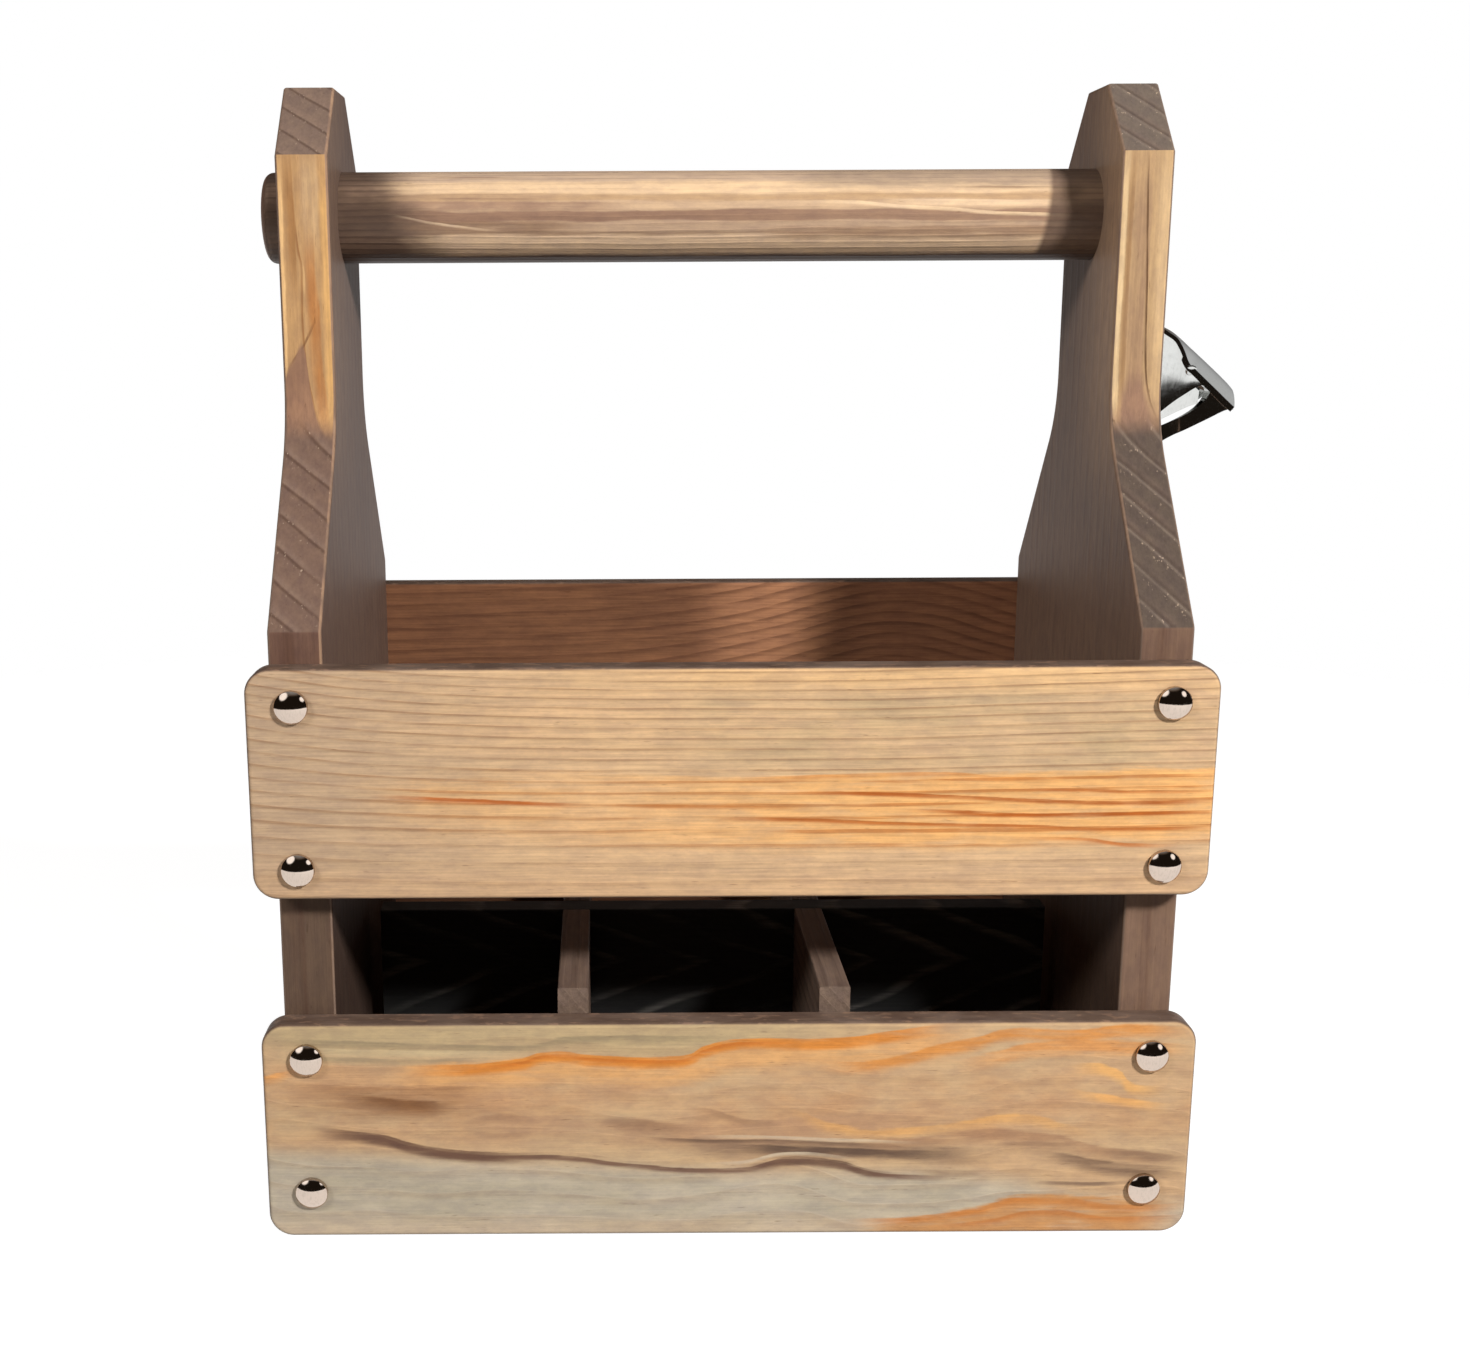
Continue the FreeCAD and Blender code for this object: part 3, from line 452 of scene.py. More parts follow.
def upper_slat_pine(wood):
    """Straight fine rings, a resin band to the right and cloudy grey tints, sanded on the front."""
    w = Finish("upper_slat_pine", "xzy")
    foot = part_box("front_upper_slat")[0].z * MM
    height = w.maths("SUBTRACT", w.z, foot)
    bend = ((-150, 8), (-133, 5.5), (-110, 3), (-65, 0.6), (0, -0.4), (60, 0), (105, 1.2), (150, 2.4))
    bow = w.times(w.drawn(w.x, bend), w.span(height, 0.0, 74.0, 0.3, 1.1))
    level = w.maths("SUBTRACT", height, bow)
    ring = w.drawn(level, ((-4, -0.7), (0, 0), (18, 3), (40, 8.4), (58, 13.8), (74, 19.2), (80, 21.4)))
    rings = w.rings(ring, 0.22, 3.0)
    late = rings["Late"]
    cloud = w.cloud(34.0, 5.0)
    mist = w.cloud(16.0, 9.0)

    colour = w.mix(w.times(cloud, 0.6), linear(wood.honey), linear(shade(196, 166, 132)))
    colour = w.paint(colour, w.times(rings["Tone"], mist), shade(224, 184, 140), 0.6)
    left_end = w.span(w.x, -150.0, -40.0, 1.0, 0.0)
    colour = w.paint(colour, left_end, shade(184, 158, 132), 0.8)
    grey = w.times(w.span(w.x, -60.0, 20.0), w.window(height, 42.0, 66.0, 8.0), mist)
    colour = w.paint(colour, grey, shade(176, 157, 124), 0.6)
    amber = w.times(w.span(w.x, -70.0, 20.0), w.span(height, 64.0, 70.0), w.span(cloud, 0.0, 0.6))
    colour = w.paint(colour, amber, shade(230, 188, 136), 0.6)
    colour = w.paint(colour, w.span(height, 16.0, 4.0), shade(202, 166, 130), 0.6)
    lines = w.times(late, w.span(rings["Share"], 0.58, 0.84), w.span(height, 8.0, 26.0, 0.5, 1.0))
    colour = w.paint(colour, lines, shade(150, 114, 82), 0.62)

    band = ((-110, 31), (-70, 30), (0, 27.5), (60, 27.5), (100, 28.5), (150, 30), (220, 31))
    patch = ((-128, 34), (-90, 33), (-60, 31), (-20, 29))
    glow = w.streak(height, w.drawn(w.x, band), 12.0, 11.0, 2.2, w.span(w.x, -110.0, 60.0), 21.0)
    glint = w.streak(height, w.drawn(w.x, patch), 6.0, 9.0, 5.0, w.window(w.x, -105.0, -30.0, 20.0), 22.0)
    resin = w.larger(glow, w.times(glint, 0.45))
    colour = w.paint(colour, resin, wood.resin, 0.82)
    colour = w.paint(colour, w.times(resin, w.span(late, 0.3, 0.8)), shade(172, 96, 40), 0.6)
    colour = lay_streaks(w, colour, w.x, height, RESIN_LINES)
    colour = sand(w, colour, late, wood, "Front")
    return wood_surface(w, colour, late, 11.0, fibres=0.8)


LOWER_STREAKS = (
    Streak((204, 158, 116), 0.6, 7.0, 6.0, 3.0, ((-158, 54), (-120, 54), (-80, 53), (-50, 53))),
    Streak((178, 140, 110), 0.55, 3.0, 5.0, 2.5, ((-90, 40), (-50, 39), (-10, 36), (40, 40), (70, 40))),
    Streak((150, 134, 106), 0.75, 0.9, 1.3, 1.0,
           ((-150, 69), (-106, 67), (-67, 66), (-52, 68.5), (-22, 69), (6, 68.5))),
    Streak((158, 140, 110), 0.65, 0.8, 1.2, 0.8, ((-150, 63), (-120, 62), (-95, 61.5), (-70, 63))),
    Streak((208, 188, 148), 0.6, 0.8, 1.4, 0.8, ((-146, 66), (-100, 64.4), (-60, 64))),
    Streak((224, 168, 108), 0.75, 2.0, 6.5, 2.2,
           ((-114, 58), (-86, 58.5), (-56, 61), (-17, 60), (4, 65), (50, 67), (84, 71))),
    Streak((214, 136, 60), 0.95, 1.6, 2.2, 0.7,
           ((-108, 58.6), (-86, 58.8), (-67, 60.5), (-56, 63), (-44, 61.8), (-17, 61), (-8, 64.5), (4, 67),
            (30, 67), (55, 70), (74, 73))),
    Streak((198, 112, 44), 0.7, 0.5, 0.7, 0.5,
           ((-90, 58.2), (-67, 60.6), (-56, 63.2), (-44, 62), (-17, 61.2), (-8, 64.6), (4, 67), (26, 66.8))),
    Streak((212, 140, 68), 0.85, 2.0, 1.8, 1.2,
           ((25, 59), (42, 59), (56, 61), (67, 64.5), (79, 66.7), (93, 70), (108, 69), (130, 71), (153, 69))),
    Streak((216, 146, 78), 0.75, 1.4, 3.2, 1.5, ((70, 58), (85, 62.5), (104, 66), (125, 66), (153, 64))),
    Streak((220, 166, 102), 0.7, 1.2, 1.8, 1.4,
           ((14, 46.5), (26, 41), (36, 37.5), (49, 36), (66, 37.5), (80, 39.5), (95, 41), (107, 38),
            (122, 33))),
    Streak((156, 116, 88), 0.6, 1.0, 3.2, 1.6,
           ((30, 36), (49, 32.5), (66, 34), (84, 36), (104, 34), (124, 29), (150, 26))),
    Streak((158, 116, 82), 0.7, 5.0, 6.0, 3.2, ((-146, 50), (-110, 48), (-70, 47))),
    Streak((120, 80, 50), 0.85, 1.5, 2.4, 1.6, ((-128, 49), (-112, 47.4), (-98, 46), (-82, 46.5))),
    Streak((146, 110, 86), 0.5, 1.2, 1.4, 1.2, ((-88, 37.4), (-79, 41.4), (-71, 42), (-60, 38.6))),
    Streak((148, 112, 88), 0.4, 1.2, 1.4, 1.2, ((-88, 37.6), (-79, 35.6), (-71, 35.2), (-60, 37.8))),
    Streak((138, 104, 80), 0.65, 1.8, 2.4, 1.8, ((-46, 40), (-26, 39), (-8, 36))),
    Streak((150, 116, 90), 0.6, 0.9, 1.4, 1.0, ((-16, 46), (-4, 43), (6, 40), (20, 39))),
    Streak((112, 82, 68), 0.9, 0.9, 0.9, 0.5,
           ((-135, 37), (-117, 35.4), (-102, 31), (-80, 28), (-57, 27.7), (-32, 24.7), (-7, 22.7), (5, 23),
            (21, 26), (34, 25), (49, 21), (62, 20), (78, 19.5))),
    Streak((104, 76, 62), 0.9, 1.8, 2.0, 0.7,
           ((-140, 37.2), (-126, 36.2), (-112, 34), (-98, 30.2), (-80, 28), (-56, 27.6))),
    Streak((100, 74, 60), 0.9, 1.5, 1.5, 0.6,
           ((0, 22.8), (12, 24.2), (21, 26), (34, 25), (49, 21), (62, 20))),
    Streak((124, 98, 80), 0.65, 2.6, 3.0, 1.6, ((-24, 33), (5, 30.6), (31, 30), (60, 28.5), (92, 27.5))),
    Streak((92, 72, 60), 0.9, 1.3, 1.5, 0.7, ((-4, 31), (20, 30.2), (40, 29.2), (60, 28.4), (78, 28))),
    Streak((110, 86, 70), 0.8, 0.5, 0.6, 0.4, ((-34, 35.4), (-10, 33.4), (15, 33.2), (40, 32), (62, 31))),
    Streak((106, 82, 68), 0.85, 1.8, 2.2, 1.2, ((96, 29), (108, 27), (120, 24), (134, 22.4), (152, 21))),
    Streak((130, 104, 84), 0.6, 1.2, 1.4, 1.2, ((58, 22), (72, 21.4), (88, 21.8))),
    Streak((138, 108, 86), 0.6, 1.0, 1.6, 1.2, ((82, 31), (100, 31.5), (118, 30))),
    Streak((130, 100, 80), 0.65, 1.2, 1.6, 1.2, ((116, 31), (135, 27.4), (153, 25.4))),
    Streak((108, 86, 74), 0.8, 0.6, 0.7, 0.4, ((96, 18.4), (108, 17.8), (120, 17.6), (136, 18.2))),
    Streak((208, 190, 164), 0.8, 0.5, 0.6, 0.4, ((-12, 25), (5, 25.9), (21, 28.8), (33, 28), (46, 24))),
    Streak((208, 188, 160), 0.75, 0.5, 0.6, 0.4, ((-14, 35), (13, 34.6), (33, 33.6), (48, 33), (66, 32))),
    Streak((196, 138, 80), 0.85, 9.0, 16.0, 3.0, ((36, -8), (58, -4), (82, 0), (97, 4), (118, 4), (153, 2))),
    Streak((196, 124, 60), 0.8, 0.9, 1.2, 0.8,
           ((36, 4.5), (58, 5), (82, 8.3), (97, 11.8), (111, 11.4), (131, 9), (153, 10))),
    Streak((190, 120, 62), 0.75, 0.8, 1.0, 0.8, ((62, 2), (86, 4), (104, 7.5), (126, 5), (153, 6))),
    Streak((232, 176, 106), 0.8, 1.8, 1.8, 1.2, ((108, 57), (116, 58), (126, 55), (130, 51), (142, 50))),
    Streak((230, 172, 104), 0.8, 1.4, 1.4, 1.0, ((108, 50), (119, 48), (130, 46), (144, 44))),
    Streak((226, 158, 90), 0.75, 1.2, 1.2, 1.2, ((-158, 57), (-150, 55.5), (-145, 56.5), (-138, 58))),
)


def lower_slat_pine(wood):
    """Flowing bands of resin and heart wood over a grey-beige ground, sanded on the front."""
    w = Finish("lower_slat_pine", "xzy")
    height = w.z
    ring_spacing = 7.5
    flow = ((-150, 5), (-100, 1), (-60, 1.5), (-20, -2), (20, 1), (50, -3), (80, -1), (100, 2), (150, -2))
    level = w.maths("SUBTRACT", height, w.drawn(w.x, flow))
    rings = w.rings(w.maths("DIVIDE", level, ring_spacing), 0.9, 14.0)
    late = rings["Late"]
    cloud = w.cloud(30.0, 2.0)
    mist = w.cloud(12.0, 8.0)
    colour = w.mix(w.times(cloud, 0.7), linear(wood.beige), linear(shade(196, 170, 134)))
    pale_top = w.times(w.span(level, 60.0, 68.0), w.span(w.x, 60.0, 0.0))
    colour = w.paint(colour, pale_top, shade(188, 166, 128), 0.85)
    grey_edge = ((-150, 30), (-100, 27), (-40, 24), (0, 22), (40, 22), (80, 20), (120, 12), (150, 10))
    low = w.span(w.maths("SUBTRACT", height, w.drawn(w.x, grey_edge)), 5.0, -5.0)
    colour = w.paint(colour, low, shade(191, 180, 161), 0.95)
    colour = w.paint(colour, w.times(low, mist), shade(164, 154, 134), 0.55)
    colour = w.paint(colour, w.span(height, 9.0, 2.0), shade(203, 180, 152), 0.6)
    colour = w.paint(colour, w.times(w.window(height, 34.0, 58.0, 6.0), mist), shade(186, 140, 102), 0.6)
    colour = w.paint(colour, late, shade(156, 124, 94), 0.22)
    colour = lay_streaks(w, colour, w.x, height, LOWER_STREAKS)
    colour = sand(w, colour, late, wood, "Front")
    return wood_surface(w, colour, late, 17.0, fibres=0.3)


def back_slat_pine(wood):
    """Arched figure, red-brown stain inside with painted light over it, and sanded to honey outside."""
    w = Finish("back_slat_pine", "xzy")
    arch_middle, arch_reach, arch_rise, ring_spacing = 78.0, 60.0, 26.0, 4.6
    away = w.maths("DIVIDE", w.maths("SUBTRACT", w.x, arch_middle), arch_reach)
    arch = w.maths("DIVIDE", arch_rise, w.maths("MULTIPLY_ADD", away, away, 1.0))
    ring = w.maths("DIVIDE", w.maths("SUBTRACT", w.z, arch), ring_spacing)
    rings = w.rings(ring, 0.5, 27.0)
    late = rings["Late"]
    cloud = w.cloud(30.0, 12.0)
    honey = w.mix(w.times(cloud, 0.6), linear(wood.honey), linear(shade(194, 160, 124)))
    honey = w.paint(honey, w.times(rings["Tone"], cloud), wood.resin, 0.45)
    honey = w.paint(honey, late, shade(164, 112, 66), 0.7)
    inside = w.mix(cloud, linear(wood.red_stain), linear(shade(122, 84, 62)))
    # Painted light: a brighter band where both lamps reach the inner face, and the right part, in the right end
    # board's shadow, painted lighter.
    inside = w.paint(inside, w.window(w.x, 4.0, 44.0, 12.0), shade(174, 124, 92), 0.8)
    inside = w.paint(inside, w.span(w.x, 46.0, 70.0), shade(166, 114, 84), 0.7)
    inside = w.paint(inside, late, shade(98, 64, 48), 0.6)
    facing = w.facing(0.55, 0.97)
    colour = sand(w, honey, late, wood, "Back")
    colour = w.mix(facing["Front"], colour, inside)
    return wood_surface(w, colour, late, 19.0)


# How an end board's rings run, and the colours and wear of its faces, its sanded neck and its edges
Board = namedtuple(
    "Board", "slant plain line step grain crest front foot inner wear neck blush soft border arris streaks")
BOARDS = {
    "left": Board(
        slant=0.489, plain=0.872, line=shade(82, 62, 52), step=shade(134, 112, 98),
        grain=shade(118, 95, 83), crest=shade(124, 104, 92), front=shade(111, 84, 72), foot=shade(99, 80, 67),
        inner=shade(98, 79, 70), wear=0.15, neck=shade(190, 150, 106), blush=shade(150, 115, 93),
        soft=1.6, arris=0.5,
        border=((-8.5, 271), (-7, 278), (-4.7, 281.6), (-1.8, 286), (-0.6, 280), (0.5, 270), (3.3, 260),
                (8.5, 253)),
        streaks=(
            Streak((234, 192, 138), 0.85, 1.8, 3.0, 0.9, ((262, -8.4), (300, -8.4), (352, -8.2))),
            Streak((158, 114, 72), 0.8, 1.3, 1.3, 0.8, ((296, -3.6), (325, -4.0), (354, -4.6))),
            Streak((204, 172, 134), 0.6, 3.0, 2.5, 1.2, ((310, 2.5), (354, 1.8))),
            Streak((184, 122, 70), 0.8, 2.2, 1.0, 0.9, ((252, 5.2), (280, 2.5), (300, 1.5), (326, 0.6))),
            Streak((222, 174, 112), 0.8, 1.5, 2.2, 0.8, ((252, 8.0), (300, 7.7), (352, 7.8))),
            Streak((140, 92, 54), 0.65, 0.35, 0.3, 0.25, (
                (250, 8.6), (260, 3.3), (271, 0.3), (281, -1.0), (294, -1.5), (306, -1.2), (310, -1.0),
                (316, -2.0), (325, -2.8), (340, -3.4))),
            Streak((236, 198, 144), 0.4, 0.4, 0.3, 0.3, ((300, -0.7), (309, -0.6), (315, -1.4))),
            Streak((118, 80, 54), 0.9, 0.45, 0.4, 0.2, (
                (276, -8.2), (281.6, -4.7), (286.5, -1.2), (296, 3.2))),
        )),
    "right": Board(
        slant=0.6, plain=0.8, line=shade(124, 110, 99), step=shade(66, 56, 50),
        grain=shade(91, 79, 71), crest=shade(108, 96, 87), front=shade(119, 94, 79), foot=shade(125, 100, 84),
        inner=shade(130, 106, 91), wear=0.75, neck=shade(184, 152, 114), blush=shade(148, 116, 96),
        soft=7.0, arris=0.25,
        border=((-8.5, 260), (-5.5, 262), (-4, 270), (0, 276), (3, 270), (5, 264), (8.5, 260)),
        streaks=(
            Streak((226, 197, 154), 0.85, 2.2, 3.0, 0.9, ((252, -8.0), (300, -8.2), (354, -7.8))),
            Streak((148, 112, 74), 0.75, 0.9, 0.7, 0.6, ((256, -4.4), (290, -5.0), (320, -4.9), (352, -4.6))),
            Streak((160, 129, 102), 0.8, 3.0, 3.0, 1.6, ((246, -1.2), (300, -1.4), (348, -1.2))),
            Streak((210, 178, 137), 0.8, 2.5, 3.2, 1.2, ((260, 8.6), (300, 7.8), (354, 7.4))),
            Streak((92, 66, 46), 0.9, 0.32, 0.3, 0.2, (
                (254, 9), (261.6, 6.6), (269.5, 4.1), (278, 2.8), (292, 2.1), (306, 1.6), (325, 0.6),
                (352, -0.3))),
        )),
}


def end_board_pine(wood, side):
    """Grey-brown stain with slanting rings on the end grain, a sanded golden neck, and painted shade low on the
    inner faces.
    """
    w = Finish(f"end_board_pine_{side}", "zyx")
    board = BOARDS[side]
    low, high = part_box(f"end_board_{side}")
    seed = 41.0 + low.x
    ring_spacing = 6.4
    across = w.maths("SUBTRACT", w.x, (low.x + high.x) / 2 * MM)
    depth = w.maths("MULTIPLY_ADD", across, board.slant, w.times(w.y, board.plain))
    rings = w.rings(w.maths("DIVIDE", depth, ring_spacing), 0.12, seed)
    late, share = rings["Late"], rings["Share"]
    facing = w.facing(0.88, 0.98)
    cloud = w.cloud(26.0, seed)
    specks = w.cloud(1.0, 47.0)

    colour = w.mix(cloud, linear(wood.stain), linear(shade(132, 112, 98)))
    flat = w.span(facing["Side"], 0.7, 0.95)
    colour = w.paint(colour, flat, board.inner, 0.92)
    colour = w.paint(colour, w.times(flat, rings["Tone"], cloud), shade(116, 98, 88), 0.35)
    colour = w.paint(colour, w.times(flat, late, cloud), shade(76, 58, 50), 0.2)
    inward = w.span(w.times(across, 1.0 if side == "right" else -1.0), 3.0, -3.0)
    worn = w.times(flat, inward, w.span(w.z, 215.0, 285.0), w.span(w.y, 16.0, -36.0))
    colour = w.paint(colour, worn, shade(188, 156, 128), board.wear)
    rubbed = w.times(flat, inward, w.window(w.z, 150.0, 220.0, 15.0))
    colour = w.paint(colour, rubbed, shade(152, 124, 106), board.wear * 0.4)
    # Painted shade: the inner face darkens towards its foot, deep inside the box.
    colour = w.paint(colour, w.times(flat, inward, w.span(w.z, 128.0, 106.0)), shade(40, 28, 22), 0.6)

    ends = w.larger(facing["Front"], facing["Back"])
    colour = w.paint(colour, ends, board.front)
    colour = w.paint(colour, w.times(ends, w.span(w.z, 140.0, 110.0)), board.foot)
    colour = w.paint(colour, w.times(ends, late, cloud), shade(86, 60, 48), 0.55)
    grain = w.times(w.span(facing["Slope"], 0.15, 0.4), w.span(facing["Side"], 0.6, 0.3))
    colour = w.paint(colour, grain, board.grain)
    colour = w.paint(colour, w.times(grain, w.span(w.z, 310.0, 340.0)), board.crest)
    colour = w.paint(colour, w.times(grain, w.span(share, 0.5, 0.0), cloud), shade(140, 116, 103), 0.35)
    line = w.times(w.span(share, 0.82, 0.92), w.span(share, 1.0, 0.94))
    colour = w.paint(colour, w.times(grain, line, w.span(cloud, 0.0, 0.5, 0.5, 1.0)), board.line, 0.6)
    step = w.times(grain, w.span(share, 0.0, 0.03), w.span(share, 0.24, 0.05))
    colour = w.paint(colour, w.times(step, w.span(cloud, 0.0, 0.5, 0.4, 1.0)), board.step, 0.5)
    speckle = w.times(grain, w.span(specks, 0.93, 1.0), w.span(share, 0.5, 0.9))
    colour = w.paint(colour, speckle, shade(190, 168, 146), 0.7)

    colour = w.paint(colour, w.times(ends, w.span(w.z, 248.0, 258.0)), board.blush)
    edge = w.maths("SUBTRACT", w.z, w.drawn(across, board.border))
    sanded = w.times(ends, w.span(edge, -board.soft, board.soft), wood.sanding)
    gold = w.paint(linear(board.neck), w.times(cloud, rings["Tone"]), shade(166, 130, 98), 0.5)
    gold = lay_streaks(w, gold, w.z, across, board.streaks)
    colour = w.mix(sanded, colour, gold)
    turn = facing["Side"]
    arris = w.times(w.span(turn, 0.12, 0.4), w.span(turn, 0.97, 0.8))
    wear = w.cloud(14.0, 52.0)
    arris = w.times(arris, w.span(inward, 0.0, 1.0, 0.15, 1.0), w.span(wear, 0.1, 0.6, 0.35, 1.0))
    arris = w.times(arris, w.span(w.z, 108.0, 140.0, 0.25, 1.0))
    colour = w.paint(colour, arris, shade(190, 152, 122), board.arris)
    return wood_surface(w, colour, late, seed, fibres=0.55, sheen=0.1)


# A band along the dowel: its place on the girth in millimetres, tint in parts of 255, strength, and how
# much of it is left towards the right
Band = namedtuple("Band", "low high blur tint strength right")
DOWEL_BANDS = (
    Band(12.0, 40.0, 0.9, (196, 170, 146), 0.85, 1.0),
    Band(6.6, 12.2, 1.1, (229, 197, 159), 0.9, 1.0),
    Band(4.4, 6.8, 0.9, (190, 156, 118), 0.7, 1.0),
    Band(1.4, 4.5, 0.6, (206, 175, 143), 0.85, 1.0),
    Band(-2.4, 1.4, 0.35, (147, 115, 96), 0.9, 0.8),
    Band(-5.8, -2.4, 0.6, (194, 164, 137), 0.85, 1.0),
    Band(-6.7, -5.8, 0.4, (152, 122, 98), 0.7, 1.0),
    Band(-15.8, -6.7, 0.9, (234, 202, 168), 0.9, 1.0),
    # Painted shade: the last band darkens the underside, where less light falls.
    Band(-50.0, -15.6, 1.0, (84, 64, 54), 0.9, 1.0),
)
DOWEL_STREAKS = (
    Streak((168, 145, 124), 0.85, 10.0, 3.2, 1.5, ((16, 12.8), (60, 12.2), (136, 12))),
    Streak((166, 134, 108), 0.8, 1.8, 2.6, 1.0, ((6, -6), (60, -6), (136, -6))),
    Streak((160, 128, 107), 0.85, 1.7, 1.8, 0.9, ((-136, 3), (-90, 3), (-60, 2.6), (-26, 2.4))),
    Streak((148, 118, 95), 0.85, 1.8, 2.0, 0.9, ((-136, -3.8), (-80, -3.8), (-36, -4.2))),
    Streak((182, 150, 120), 0.7, 1.2, 1.2, 0.8, ((-136, 6), (-70, 6), (-36, 5.6))),
    Streak((236, 206, 172), 0.8, 0.4, 0.35, 0.25, (
        (-128, 3.4), (-118, 1.6), (-108, 0.0), (-97, -2.3), (-83, -4.2), (-70, -5.9))),
    Streak((240, 210, 172), 0.75, 0.6, 0.5, 0.3, (
        (20, 3.8), (44, 3.6), (60, 2.1), (77, 1.2), (90, 0.0), (111, -0.9), (127, -2.4))),
    Streak((236, 206, 170), 0.7, 1.0, 0.9, 0.4, ((50, 3.8), (80, 3.4), (127, 3.0))),
    Streak((128, 100, 80), 0.6, 0.3, 0.4, 0.3, ((70, 9.4), (90, 9.0), (118, 8.6))),
    Streak((140, 110, 90), 0.6, 0.4, 0.5, 0.4, ((-102, 14.6), (-84, 14.8), (-62, 14.2))),
    Streak((132, 104, 86), 0.5, 0.3, 0.4, 0.3, ((-104, 5.8), (-80, 5.4), (-56, 5.2))),
)


def dowel_pine():
    """Lengthwise bands round the handle, sanded pale where hands hold it, with stain at the left end and on the
    end faces, a painted shadow over the right end and painted shade along the underside.
    """
    w = Finish("dowel_pine", "xyz")
    low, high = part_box("handle_dowel")
    axis_height = (low.z + high.z) / 2 * MM
    radius = (high.z - low.z) / 2 * MM
    ring_spacing = 2.3
    up = w.maths("SUBTRACT", w.z, axis_height)
    turn = w.maths("ARCTAN2", up, w.maths("MULTIPLY", w.y, -1.0))
    facing = w.facing(0.6, 0.97)
    end = w.span(facing["Side"], 0.3, 0.7)
    out = w.maths("SQRT", w.maths("MULTIPLY_ADD", up, up, w.times(w.y, w.y)))
    girth = w.maths("ADD", w.times(turn, radius, w.maths("SUBTRACT", 1.0, end)), w.times(out, end))
    w.place = w.node("ShaderNodeCombineXYZ", {0: w.x, 1: girth}).outputs[0]
    rings = w.rings(w.maths("DIVIDE", girth, ring_spacing), 0.5, 61.0)
    cloud = w.cloud(12.0, 63.0)
    late = rings["Late"]
    sway = w.noise(w.place, (0.03, 0.3, 0.3), 65.0, detail=4.0)
    level = w.maths("MULTIPLY_ADD", w.maths("SUBTRACT", sway, 0.5), 3.4, girth)
    colour = linear(shade(186, 156, 128))
    for band in DOWEL_BANDS:
        reach = w.window(level, band.low, band.high, band.blur)
        reach = w.times(reach, w.span(w.x, -20.0, 50.0, 1.0, band.right))
        colour = w.paint(colour, reach, shade(*band.tint), band.strength)
    colour = w.paint(colour, w.times(late, cloud), shade(138, 108, 86), 0.3)
    colour = lay_streaks(w, colour, w.x, girth, DOWEL_STREAKS)

    rubbed = w.times(w.window(level, 4.0, 12.0, 2.0), cloud)
    dark = w.paint(linear(shade(100, 81, 69)), rubbed, shade(148, 122, 102))
    dark = w.paint(dark, w.window(level, -13.0, -6.0, 3.0), shade(134, 108, 90), 0.45)
    dark = w.paint(dark, late, shade(76, 60, 52), 0.5)
    ragged = w.maths("SUBTRACT", w.noise(w.place, (0.08, 0.35, 0.35), 67.0, detail=3.0), 0.5)
    left_edge = w.maths("MULTIPLY_ADD", ragged, 14.0, w.maths("MULTIPLY_ADD", girth, 0.45, w.x))
    # Painted shadow: the dark colour laid over the right end deepens the right end board's shadow; the left end
    # is real stain.
    shadow_edge = w.maths("MULTIPLY_ADD", girth, -0.13, w.x)
    darkened = w.larger(w.span(left_edge, -90.0, -113.0), w.times(w.span(shadow_edge, 107.5, 110.0), 0.9))
    colour = w.mix(darkened, colour, dark)
    colour = w.paint(colour, end, shade(118, 92, 78), 0.95)
    colour = w.paint(colour, w.times(end, late), shade(84, 64, 54), 0.6)
    return wood_surface(w, colour, late, 29.0, roughness=0.46, fibres=0.25)


def base_plywood(wood):
    """Stained plywood with thin dark glue lines on its edges."""
    w = Finish("base_plywood", "xyz")
    ply_thickness, ring_spacing = 1.8, 9.0
    ply = w.maths("FRACT", w.maths("DIVIDE", w.z, ply_thickness))
    rings = w.rings(w.maths("DIVIDE", w.y, ring_spacing), 1.6, 71.0)
    cloud = w.cloud(40.0, 73.0)
    late = rings["Late"]
    colour = w.mix(cloud, linear(wood.stain), linear(shade(140, 116, 98)))
    colour = w.paint(colour, late, shade(92, 74, 62), 0.4)
    facing = w.facing(0.6, 0.97)
    edge = w.span(facing["Slope"], 0.6, 0.3)
    colour = w.paint(colour, w.times(edge, w.window(ply, 0.0, 0.2, 0.06)), shade(70, 54, 44), 0.8)
    return wood_surface(w, colour, late, 31.0)


def divider_pine(wood):
    """Grey-brown stain, with slanting end grain on the front ends."""
    w = Finish("divider_pine", "yzx")
    across, up, ring_spacing = 0.75, 0.66, 3.6
    slant = w.maths("MULTIPLY_ADD", w.x, across, w.times(w.z, up))
    rings = w.rings(w.maths("DIVIDE", slant, ring_spacing), 0.4, 81.0)
    cloud = w.cloud(18.0, 83.0)
    late = rings["Late"]
    colour = w.mix(cloud, linear(wood.stain), linear(shade(108, 88, 76)))
    colour = w.paint(colour, late, shade(78, 62, 54), 0.55)
    facing = w.facing(0.6, 0.97)
    colour = w.paint(colour, w.larger(facing["Front"], facing["Back"]), shade(126, 108, 95), 0.5)
    return wood_surface(w, colour, late, 37.0)


def black_divider(wood):
    """Near-black colour that lets a faint pointed figure through."""
    w = Finish("black_divider", "xzy")
    crest, fall, ring_spacing = 62.0, 2.6, 34.0
    tongue = w.maths("ABSOLUTE", w.maths("SUBTRACT", w.z, crest))
    reach = w.maths("MULTIPLY_ADD", tongue, fall, w.x)
    rings = w.rings(w.maths("DIVIDE", reach, ring_spacing), 0.5, 91.0)
    cloud = w.cloud(22.0, 93.0)
    late = rings["Late"]
    figure = w.times(late, cloud, w.span(rings["Share"], 0.66, 0.88))
    colour = w.mix(figure, linear(wood.black_stain), linear(shade(124, 121, 116)))
    return wood_surface(w, colour, late, 43.0, roughness=0.6)


